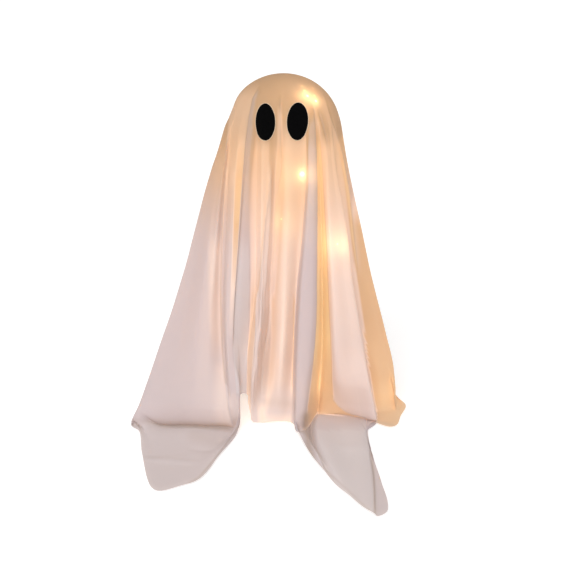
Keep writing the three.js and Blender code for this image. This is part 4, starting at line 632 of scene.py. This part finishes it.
def eye(name, cx, cy, a, b, tilt):
    """A felt oval that lies on the cloth, and its thin pale edge."""
    rings, turns = 14, 72
    front = []
    for i in range(rings + 1):
        k = i / rings
        for j in range(turns if i else 1):
            p, nn = seen(*oval(cx, cy, a, b, tilt, k, 2 * math.pi * j / turns))
            front.append((p, nn))
    P = np.array([p for p, _ in front]); N = np.array([q for _, q in front])
    mean_n = N.mean(0); mean_n /= np.linalg.norm(mean_n)
    idx = lambda i, j: 0 if i == 0 else 1 + (i - 1) * turns + j % turns
    # the felt is stiffer than the cloth: it bridges the small folds
    h = (P - P.mean(0)) @ mean_n
    X = P - np.outer(h, mean_n)
    ref = np.linalg.lstsq(np.c_[np.ones(len(P)), X[:, 0], X[:, 2], X[:, 0] ** 2, X[:, 2] ** 2, X[:, 0] * X[:, 2]], h, rcond=None)[0]
    fit = np.c_[np.ones(len(P)), X[:, 0], X[:, 2], X[:, 0] ** 2, X[:, 2] ** 2, X[:, 0] * X[:, 2]] @ ref
    lift = np.maximum(0.5 * fit + 0.5 * h, h + 0.00025)
    P = X + np.outer(lift, mean_n) + N * 0.0004
    T = 0.0009
    verts = [Vector(p) + Vector(q) * T * (1 - 0.55 * (i_k ** 8)) for p, q, i_k in
             zip(P, N, [0] + [i / rings for i in range(1, rings + 1) for _ in range(turns)])]
    nf = len(verts)
    verts += [Vector(p) - Vector(q) * 0.0006 for p, q in zip(P[-turns:], N[-turns:])]
    faces = [(0, idx(1, j), idx(1, j + 1)) for j in range(turns)]
    for i in range(1, rings):
        for j in range(turns):
            faces.append((idx(i, j), idx(i + 1, j), idx(i + 1, j + 1), idx(i, j + 1)))
    for j in range(turns):
        faces.append((idx(rings, j), nf + j, nf + (j + 1) % turns, idx(rings, j + 1)))
    verts.append(Vector(P[0]) - Vector(N[0]) * 0.0006)
    faces += [(nf + turns, nf + (j + 1) % turns, nf + j) for j in range(turns)]
    ob = new_mesh(name, verts, faces)
    # the edge: a fine overcast thread, slightly thicker at each stitch
    ev, ef = [], []
    m, sides = 216, 6
    cent = [Vector(p) for p in P[-turns:]]; cn = [Vector(q) for q in N[-turns:]]
    for k in range(m):
        s = k / m * turns; i0 = int(s) % turns; f = s - int(s)
        c = cent[i0].lerp(cent[(i0 + 1) % turns], f); q = cn[i0].lerp(cn[(i0 + 1) % turns], f).normalized()
        tan = (cent[(i0 + 1) % turns] - cent[i0]).normalized(); out = tan.cross(q).normalized()
        if (c - Vector(P[0])).dot(out) < 0:
            out = -out
        r = 0.00034 + 0.00008 * (k % 3 == 0)
        for a_ in range(sides):
            th = 2 * math.pi * a_ / sides
            ev.append(c + out * (0.00030 + r * math.cos(th)) + q * (0.0003 + r * 1.15 * math.sin(th)))
    for k in range(m):
        for a_ in range(sides):
            ef.append((k * sides + a_, ((k + 1) % m) * sides + a_, ((k + 1) % m) * sides + (a_ + 1) % sides, k * sides + (a_ + 1) % sides))
    rim = new_mesh(name + "_edge", ev, ef)
    return ob, rim


g = Net("eye_felt"); m_eye = g.m
obj = g.node("ShaderNodeTexCoord").outputs["Object"]
bs = g.node("ShaderNodeBsdfPrincipled")
g.link(g.ramp(g.noise(obj, 500.0, 4.0, 0.65), [(0.3, (0.0008, 0.0008, 0.0009)), (0.7, (0.0022, 0.0021, 0.0023))]), bs.inputs["Base Color"])
g.link(g.math("ADD", g.math("MULTIPLY", g.noise(obj, 300.0), 0.12), 0.86), bs.inputs["Roughness"])
bs.inputs["Specular IOR Level"].default_value = 0.04
st = g.node("ShaderNodeMapping"); g.link(obj, st.inputs[0]); st.inputs["Scale"].default_value = (2600, 900, 700); st.inputs["Rotation"].default_value = (0.2, 0.4, 0.7)
fib = g.node("ShaderNodeTexNoise"); g.link(st.outputs[0], fib.inputs["Vector"]); fib.inputs["Scale"].default_value = 1.0; fib.inputs["Detail"].default_value = 4
b1 = g.bump(fib.outputs[0], 0.35, 0.0003); g.link(g.bump(g.noise(obj, 160.0, 2.0), 0.2, 0.0006, b1), bs.inputs["Normal"])
g.link(bs.outputs[0], g.out.inputs[0])

g = Net("edge_thread"); m_thread = g.m
obj = g.node("ShaderNodeTexCoord").outputs["Object"]
bs = g.node("ShaderNodeBsdfPrincipled")
g.link(g.ramp(g.noise(obj, 700.0, 3.0), [(0.3, (0.74, 0.55, 0.38)), (0.7, (0.88, 0.69, 0.50))]), bs.inputs["Base Color"])
bs.inputs["Roughness"].default_value = 0.75; bs.inputs["Specular IOR Level"].default_value = 0.2
wv = g.node("ShaderNodeTexWave"); g.link(obj, wv.inputs["Vector"]); wv.inputs["Scale"].default_value = 900; wv.inputs["Distortion"].default_value = 1.0
g.link(g.bump(wv.outputs[0], 0.4, 0.0002), bs.inputs["Normal"]); g.link(bs.outputs[0], g.out.inputs[0])

for nm, args in (("eye_left", (265.5, 122.1, 9.7, 18.4, 0.0)), ("eye_right", (297.4, 121.5, 10.6, 18.7, -0.05))):
    felt, edge = eye("ghost_" + nm, *args)
    felt.data.materials.append(m_eye); edge.data.materials.append(m_thread)
    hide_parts(nm)
    for o in (felt, edge):
        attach(o, "cloth")

# ---------------------------------------------------------------- light string: two insulated wires twisted round each other, and lamp beads
def frames(path):
    """Points at about 1 mm along the smooth route, with a frame that doesn't twist."""
    P = np.array(path, float); out = []
    for i in range(len(P) - 1):
        p0, p1, p2, p3 = P[max(i - 1, 0)], P[i], P[i + 1], P[min(i + 2, len(P) - 1)]
        if i == 0: p0 = 2 * p1 - p2
        if i == len(P) - 2: p3 = 2 * p2 - p1
        t0 = 0; t1 = np.linalg.norm(p1 - p0) ** 0.5; t2 = t1 + np.linalg.norm(p2 - p1) ** 0.5; t3 = t2 + np.linalg.norm(p3 - p2) ** 0.5
        m = max(3, int(np.linalg.norm(p2 - p1) / 1.1))
        t = (t1 + (t2 - t1) * np.arange(m) / m)[:, None]
        a1 = (t1 - t) / (t1 - t0) * p0 + (t - t0) / (t1 - t0) * p1; a2 = (t2 - t) / (t2 - t1) * p1 + (t - t1) / (t2 - t1) * p2
        a3 = (t3 - t) / (t3 - t2) * p2 + (t - t2) / (t3 - t2) * p3
        b1 = (t2 - t) / (t2 - t0) * a1 + (t - t0) / (t2 - t0) * a2; b2 = (t3 - t) / (t3 - t1) * a2 + (t - t1) / (t3 - t1) * a3
        out.append((t2 - t) / (t2 - t1) * b1 + (t - t1) / (t2 - t1) * b2)
    C = np.concatenate(out + [P[-1:]])
    T = np.gradient(C, axis=0); T /= np.linalg.norm(T, axis=1, keepdims=True)
    A = np.empty_like(C); a = np.cross(T[0], [0.3, 0.5, 0.8]); A[0] = a / np.linalg.norm(a)
    for i in range(1, len(C)):
        a = A[i - 1] - T[i] * (A[i - 1] @ T[i]); A[i] = a / np.linalg.norm(a)
    return C, T, A, np.cross(T, A)


C, T, A, B = frames([(x, -f, z) for x, f, z in ROUTE])
run = np.concatenate([[0], np.cumsum(np.linalg.norm(np.diff(C, axis=0), axis=1))])
sv, sf, sm = [], [], []
for strand in (0, math.pi):
    base = len(sv); ph = run / 7.0 * 2 * math.pi + strand
    cen = C + 0.36 * (np.cos(ph)[:, None] * A + np.sin(ph)[:, None] * B)
    for i in range(len(C)):
        for k in range(6):
            th = 2 * math.pi * k / 6
            sv.append((cen[i] + 0.37 * (math.cos(th) * A[i] + math.sin(th) * B[i])) * MM)
    for i in range(len(C) - 1):
        for k in range(6):
            sf.append((base + i * 6 + k, base + i * 6 + (k + 1) % 6, base + (i + 1) * 6 + (k + 1) % 6, base + (i + 1) * 6 + k)); sm.append(0)
    for end in (0, len(C) - 1):
        q = [base + end * 6 + k for k in range(6)]
        sf.append(tuple(reversed(q)) if end == 0 else tuple(q)); sm.append(0)
# each bead: a clear drop moulded over the wires, with the lamp chip inside
for x, f, z in BEADS:
    c = np.array([x, -f, z], float); i = int(np.argmin(np.linalg.norm(C - c, axis=1)))
    t, a, b = T[i], A[i], B[i]
    for prof, mi in (([(-2.9, 0.55), (-2.5, 0.95), (-1.9, 1.35), (-1.0, 1.72), (0, 1.86), (1.0, 1.72), (1.9, 1.35), (2.5, 0.95), (2.9, 0.55)], 1),
                     ([(-0.85, 0.05), (-0.8, 0.72), (-0.4, 0.8), (0.4, 0.8), (0.8, 0.72), (0.85, 0.05)], 2)):
        base = len(sv); ns = 16
        for s, r in prof:
            for k in range(ns):
                th = 2 * math.pi * k / ns
                sv.append((c + t * s + r * (math.cos(th) * a + math.sin(th) * b)) * MM)
        for j in range(len(prof) - 1):
            for k in range(ns):
                sf.append((base + j * ns + k, base + j * ns + (k + 1) % ns, base + (j + 1) * ns + (k + 1) % ns, base + (j + 1) * ns + k)); sm.append(mi)
        for j in (0, len(prof) - 1):
            q = [base + j * ns + k for k in range(ns)]
            sf.append(tuple(reversed(q)) if j == 0 else tuple(q)); sm.append(mi)
string = new_mesh("lamp_string", sv, sf)
string.data.polygons.foreach_set("material_index", sm)


def surface(name, stops, scale=60.0, rough=(0.4, 0.55), bump=(400.0, 0.08, 0.0002), metal=0.0, scuff=None, spec=0.5, coat=0.0, detail=4.0):
    """A moulded, painted or metal finish: colour that varies a little, roughness that varies, fine relief, and light scuffs."""
    g = Net(name)
    obj = g.node("ShaderNodeTexCoord").outputs["Object"]
    col = g.ramp(g.noise(obj, scale, detail, 0.6), stops)
    rg = g.math("ADD", g.math("MULTIPLY", g.noise(obj, scale * 4, 3.0, 0.6), (rough[1] - rough[0]) * 2), 2 * rough[0] - (rough[0] + rough[1]) / 2)
    nrm = g.bump(g.noise(obj, bump[0], 3.0, 0.6), bump[1], bump[2])
    if scuff:
        mp = g.node("ShaderNodeMapping"); g.link(obj, mp.inputs[0]); mp.inputs["Scale"].default_value = (900, 1400, 60)
        mp.inputs["Rotation"].default_value = (0.5, 0.3, 0.2)
        s = g.node("ShaderNodeTexNoise"); g.link(mp.outputs[0], s.inputs["Vector"]); s.inputs["Scale"].default_value = 1.0; s.inputs["Detail"].default_value = 2
        mask = g.ramp(s.outputs[0], [(0.60, (0, 0, 0)), (0.72, (1, 1, 1))])
        geo = g.node("ShaderNodeNewGeometry"); edge = g.ramp(geo.outputs["Pointiness"], [(0.52, (0, 0, 0)), (0.60, (1, 1, 1))])
        amount = g.math("ADD", g.math("MULTIPLY", mask, 0.30), g.math("MULTIPLY", edge, 0.35), clamp=True)
        col = g.mix(amount, col, (*scuff, 1))
        rg = g.math("ADD", rg, g.math("MULTIPLY", amount, 0.15), clamp=True)
    bs = g.node("ShaderNodeBsdfPrincipled"); g.link(col, bs.inputs["Base Color"]); g.link(rg, bs.inputs["Roughness"])
    bs.inputs["Metallic"].default_value = metal; bs.inputs["Specular IOR Level"].default_value = spec; bs.inputs["Coat Weight"].default_value = coat
    g.link(nrm, bs.inputs["Normal"]); g.link(bs.outputs[0], g.out.inputs[0])
    return g.m


m_wire = surface("wire_insulation", [(0.35, (0.74, 0.72, 0.66)), (0.65, (0.84, 0.82, 0.77))], 200.0, (0.30, 0.42), (900.0, 0.1, 0.0001))
m_bead = surface("bead_resin", [(0.35, (0.95, 0.80, 0.55)), (0.65, (1.0, 0.88, 0.66))], 300.0, (0.08, 0.16), (300.0, 0.08, 0.0002), coat=0.4)
nt = m_bead.node_tree; pb = next(q for q in nt.nodes if q.type == "BSDF_PRINCIPLED")
pb.inputs["Transmission Weight"].default_value = 0.75; pb.inputs["IOR"].default_value = 1.45
pb.inputs["Emission Color"].default_value = (1.0, 0.62, 0.25, 1); pb.inputs["Emission Strength"].default_value = 0.9
m_chip = surface("lamp_chip", [(0.35, (0.9, 0.75, 0.4)), (0.65, (1.0, 0.85, 0.5))], 900.0, (0.3, 0.5), (900.0, 0.1, 0.0001))
nt = m_chip.node_tree; pb = next(q for q in nt.nodes if q.type == "BSDF_PRINCIPLED")
pb.inputs["Emission Color"].default_value = (1.0, 0.78, 0.42, 1); pb.inputs["Emission Strength"].default_value = 9.0
for q in (m_wire, m_bead, m_chip):
    string.data.materials.append(q)
string.visible_shadow = False
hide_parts("light_string"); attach(string, "stand")

# ---------------------------------------------------------------- finishes of the pieces under the cloth
WHITE = [(0.3, (0.74, 0.72, 0.66)), (0.5, (0.80, 0.78, 0.73)), (0.7, (0.84, 0.82, 0.77))]
m_abs = surface("stand_plastic", WHITE, 45.0, (0.38, 0.52), (1400.0, 0.16, 0.00015), scuff=(0.60, 0.57, 0.52))
m_case = surface("case_plastic", [(0.3, (0.70, 0.69, 0.65)), (0.7, (0.78, 0.77, 0.73))], 55.0, (0.45, 0.62), (2600.0, 0.30, 0.00015), scuff=(0.58, 0.56, 0.52))
m_pole = surface("pole_paint", [(0.3, (0.80, 0.79, 0.75)), (0.7, (0.86, 0.85, 0.81))], 30.0, (0.22, 0.34), (260.0, 0.10, 0.0003), scuff=(0.52, 0.50, 0.47), coat=0.3)
m_steel = surface("weight_steel", [(0.3, (0.10, 0.098, 0.095)), (0.55, (0.20, 0.19, 0.185)), (0.75, (0.24, 0.17, 0.12))], 70.0, (0.45, 0.65), (350.0, 0.35, 0.0005), metal=0.7)
m_screw = surface("screw_zinc", [(0.3, (0.52, 0.52, 0.53)), (0.7, (0.66, 0.66, 0.66))], 300.0, (0.25, 0.40), (900.0, 0.15, 0.0001), metal=0.95)
m_rubber = surface("pad_rubber", [(0.3, (0.018, 0.018, 0.019)), (0.7, (0.035, 0.034, 0.034))], 120.0, (0.75, 0.9), (800.0, 0.5, 0.0003), spec=0.3)
m_black = surface("switch_plastic", [(0.3, (0.012, 0.012, 0.013)), (0.7, (0.024, 0.024, 0.026))], 200.0, (0.42, 0.6), (2200.0, 0.3, 0.0001), scuff=(0.07, 0.07, 0.07))
m_contact = surface("contact_nickel", [(0.3, (0.58, 0.56, 0.52)), (0.7, (0.70, 0.68, 0.63))], 260.0, (0.20, 0.36), (700.0, 0.12, 0.0001), metal=0.95)

# former: thin milky moulded dome with faint flow rings
m_former = surface("former_plastic", [(0.3, (0.80, 0.77, 0.70)), (0.7, (0.88, 0.85, 0.79))], 28.0, (0.28, 0.42), (500.0, 0.10, 0.0003), scuff=(0.70, 0.66, 0.60))
nt = m_former.node_tree; pb = next(q for q in nt.nodes if q.type == "BSDF_PRINCIPLED")
g = Net.__new__(Net); g.m, g.nt = m_former, nt
obj = next(q for q in nt.nodes if q.type == "TEX_COORD").outputs["Object"]
wv = g.node("ShaderNodeTexWave", wave_type="RINGS", rings_direction="Z"); g.link(obj, wv.inputs["Vector"]); wv.inputs["Scale"].default_value = 55; wv.inputs["Distortion"].default_value = 1.2
last = next(l.from_socket for l in nt.links if l.to_socket == pb.inputs["Normal"])
g.link(g.bump(wv.outputs[0], 0.08, 0.0004, last), pb.inputs["Normal"])
trn = g.node("ShaderNodeBsdfTranslucent"); trn.inputs["Color"].default_value = (0.92, 0.86, 0.76, 1)
mx = g.node("ShaderNodeMixShader"); mx.inputs[0].default_value = 0.35
outn = next(q for q in nt.nodes if q.type == "OUTPUT_MATERIAL")
g.link(pb.outputs[0], mx.inputs[1]); g.link(trn.outputs[0], mx.inputs[2]); g.link(mx.outputs[0], outn.inputs[0])


def cell_wrap(name, z0, z1, flip):
    """A plain cell: dark sleeve, a metal-coloured band at the button end, bare metal ends. z0, z1 in metres."""
    g = Net(name)
    obj = g.node("ShaderNodeTexCoord").outputs["Object"]
    sp = g.node("ShaderNodeSeparateXYZ"); g.link(obj, sp.inputs[0])
    h = g.node("ShaderNodeMapRange"); g.link(sp.outputs[2], h.inputs[0])
    h.inputs[1].default_value, h.inputs[2].default_value = (z1, z0) if flip else (z0, z1)
    mott = g.noise(obj, 180.0, 3.0)
    sleeve = g.ramp(mott, [(0.3, (0.030, 0.033, 0.040)), (0.7, (0.050, 0.054, 0.064))])
    band = g.ramp(mott, [(0.3, (0.62, 0.33, 0.12)), (0.7, (0.74, 0.42, 0.17))])
    where = g.ramp(h.outputs[0], [(0.0, (0, 0, 0)), (0.665, (0, 0, 0)), (0.67, (1, 1, 1)), (1.0, (1, 1, 1))], "LINEAR")
    col = g.mix(where, sleeve, band)
    ends = g.ramp(h.outputs[0], [(0.0, (1, 1, 1)), (0.012, (1, 1, 1)), (0.016, (0, 0, 0)), (0.966, (0, 0, 0)), (0.970, (1, 1, 1)), (1.0, (1, 1, 1))])
    col = g.mix(ends, col, (0.66, 0.65, 0.62, 1))
    bs = g.node("ShaderNodeBsdfPrincipled"); g.link(col, bs.inputs["Base Color"])
    g.link(g.math("MAXIMUM", ends, g.math("MULTIPLY", where, 0.85)), bs.inputs["Metallic"])
    g.link(g.math("ADD", g.math("MULTIPLY", g.noise(obj, 700.0), 0.14), 0.20), bs.inputs["Roughness"])
    g.link(g.bump(g.noise(obj, 90.0, 2.0), 0.06, 0.0004), bs.inputs["Normal"]); g.link(bs.outputs[0], g.out.inputs[0])
    return g.m


# board: green mask over copper tracks
g = Net("board_mask"); m_board = g.m
obj = g.node("ShaderNodeTexCoord").outputs["Object"]
br = g.node("ShaderNodeTexBrick"); g.link(obj, br.inputs["Vector"]); br.inputs["Scale"].default_value = 120
br.inputs["Color1"].default_value = (0.010, 0.075, 0.030, 1); br.inputs["Color2"].default_value = (0.013, 0.095, 0.038, 1); br.inputs["Mortar"].default_value = (0.035, 0.17, 0.06, 1)
br.inputs["Mortar Size"].default_value = 0.04
bs = g.node("ShaderNodeBsdfPrincipled"); g.link(g.mix(g.math("MULTIPLY", g.noise(obj, 400.0), 0.3), br.outputs[0], (0.02, 0.12, 0.05, 1)), bs.inputs["Base Color"])
g.link(g.math("ADD", g.math("MULTIPLY", g.noise(obj, 900.0), 0.15), 0.25), bs.inputs["Roughness"])
g.link(g.bump(br.outputs[1], 0.2, 0.0001), bs.inputs["Normal"]); g.link(bs.outputs[0], g.out.inputs[0])

# the former itself: a thin moulded dome with a rounded, beaded rim and the notch that lets the light string out
FR, FH, FT, RIM = 64.5, 60.5, 1.6, 376.0
turn = np.unique(np.round(np.concatenate([np.arange(-180, 180, 2.5), np.arange(-54.5, -33, 0.5)]), 3)); nt_ = len(turn)
notch = np.clip(np.minimum((turn + 51.8) / 0.9, (-36.1 - turn) / 0.9), 0, 1) * (385.0 - RIM)
rim = RIM + notch
cr, sr_ = np.cos(np.radians(turn)), np.sin(np.radians(turn))
shell = []
for a in np.radians(np.linspace(86.4, 0, 25)):
    shell.append([(FR * math.cos(a) * c, FR * math.cos(a) * s, EQ + FH * math.sin(a)) for c, s in zip(cr, sr_)])
for q, out in ((0.3, 0), (0.6, 0), (0.80, 0), (0.86, 0.35), (0.90, 0.5), (0.94, 0.35), (1.0, 0.0)):
    shell.append([((FR + out) * c, (FR + out) * s, EQ + (r + 0.8 - EQ) * q) for c, s, r in zip(cr, sr_, rim)])
for a in np.radians(np.linspace(0, 180, 7)[1:-1]):
    shell.append([((FR - 0.8 + 0.8 * math.cos(a)) * c, (FR - 0.8 + 0.8 * math.cos(a)) * s, r + 0.8 - 0.8 * math.sin(a)) for c, s, r in zip(cr, sr_, rim)])
for q in (1.0, 0.66, 0.33):
    shell.append([((FR - FT) * c, (FR - FT) * s, EQ + (r + 0.8 - EQ) * q) for c, s, r in zip(cr, sr_, rim)])
for a in np.radians(np.linspace(0, 86.4, 25)):
    shell.append([((FR - FT) * math.cos(a) * c, (FR - FT) * math.cos(a) * s, EQ + (FH - FT) * math.sin(a)) for c, s in zip(cr, sr_)])
fv = [Vector(p) * MM for row in shell for p in row] + [Vector((0, 0, EQ + FH)) * MM, Vector((0, 0, EQ + FH - FT)) * MM]
ff = []
for i in range(len(shell) - 1):
    for j in range(nt_):
        k = (j + 1) % nt_
        ff.append((i * nt_ + k, i * nt_ + j, (i + 1) * nt_ + j, (i + 1) * nt_ + k))
top, under = len(fv) - 2, len(fv) - 1; last_row = (len(shell) - 1) * nt_
for j in range(nt_):
    k = (j + 1) % nt_
    ff.append((top, j, k)); ff.append((under, last_row + k, last_row + j))
former = new_mesh("ghost_head_former", fv, ff)
former.data.materials.append(m_former)
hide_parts("head_former"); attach(former, "stand")

FINISH = {"base_shell": m_abs, "base_plate": m_abs, "head_spider": m_abs, "case_clip": m_abs, "string_clip_1": m_abs, "string_clip_2": m_abs,
          "pole_coupler": m_abs, "string_gland": m_case, "battery_case": m_case, "battery_cover": m_case, "pole_lower": m_pole, "pole_upper": m_pole,
          "base_weight": m_steel, "base_screw_1": m_screw, "base_screw_2": m_screw, "base_screw_3": m_screw, "head_screw": m_screw,
          "base_pad": m_rubber, "contact_spring_1": m_contact, "contact_spring_2": m_contact, "contact_spring_3": m_contact,
          "contact_strip_top": m_contact, "contact_strip_bottom": m_contact, "switch_board": m_board, "switch_body": m_black, "switch_slider": m_black}
for k in (1, 2, 3):
    lo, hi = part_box(f"cell_{k}")
    FINISH[f"cell_{k}"] = cell_wrap(f"cell_wrap_{k}", lo[2], hi[2], k == 2)
for nm, m in FINISH.items():
    ob = nodes[nm]
    for s in ob.material_slots:
        s.material = m
    if not ob.material_slots:
        ob.data.materials.append(m)

# ---------------------------------------------------------------- stage and light
def plane(name, size, loc, rot=(0, 0, 0)):
    bpy.ops.mesh.primitive_plane_add(size=size, location=loc, rotation=rot)
    o = bpy.context.object; o.name = name
    return o


floor = plane("stage_floor", 80, (0, 0, 0))
m_floor, nt, out = mat("stage_floor")
b = nt.nodes.new("ShaderNodeBsdfDiffuse"); b.inputs[0].default_value = (0.70, 0.70, 0.70, 1)
em = nt.nodes.new("ShaderNodeEmission"); em.inputs[0].default_value = (1, 1, 1, 1); em.inputs[1].default_value = 0.46
ad = nt.nodes.new("ShaderNodeAddShader"); nt.links.new(b.outputs[0], ad.inputs[0]); nt.links.new(em.outputs[0], ad.inputs[1])
nt.links.new(ad.outputs[0], out.inputs[0]); floor.data.materials.append(m_floor)
w = bpy.data.worlds.new("world"); scene.world = w; w.use_nodes = True
w.node_tree.nodes["Background"].inputs[0].default_value = (1, 1, 1, 1)
w.node_tree.nodes["Background"].inputs[1].default_value = 0.46


sd = bpy.data.lights.new("key", "SUN"); sd.energy = 2.12; sd.angle = math.radians(50); sd.color = (1, 0.99, 0.98)
sun = bpy.data.objects.new("key", sd); scene.collection.objects.link(sun)
sun.rotation_euler = (Vector((0, 0, 0)) - Vector((-0.25, -1.3, 1.25))).to_track_quat("-Z", "Y").to_euler()
for i, (x, f, z) in enumerate(BEADS):
    ld = bpy.data.lights.new(f"lamp_{i + 1:02d}", "POINT"); ld.energy = LAMP_W * LAMP_SHARE[i]; ld.color = (1, 0.67, 0.34); ld.shadow_soft_size = 0.003
    o = bpy.data.objects.new(f"lamp_{i + 1:02d}", ld); scene.collection.objects.link(o)
    o.location = (x * MM, -f * MM, z * MM)
ld = bpy.data.lights.new("floor_glow", "POINT"); ld.energy = 0.015; ld.color = (0.74, 0.86, 1.0); ld.shadow_soft_size = 0.004
o = bpy.data.objects.new("floor_glow", ld); scene.collection.objects.link(o); o.location = (-0.020, -0.030, 0.036)
scene.view_settings.view_transform = "Standard"
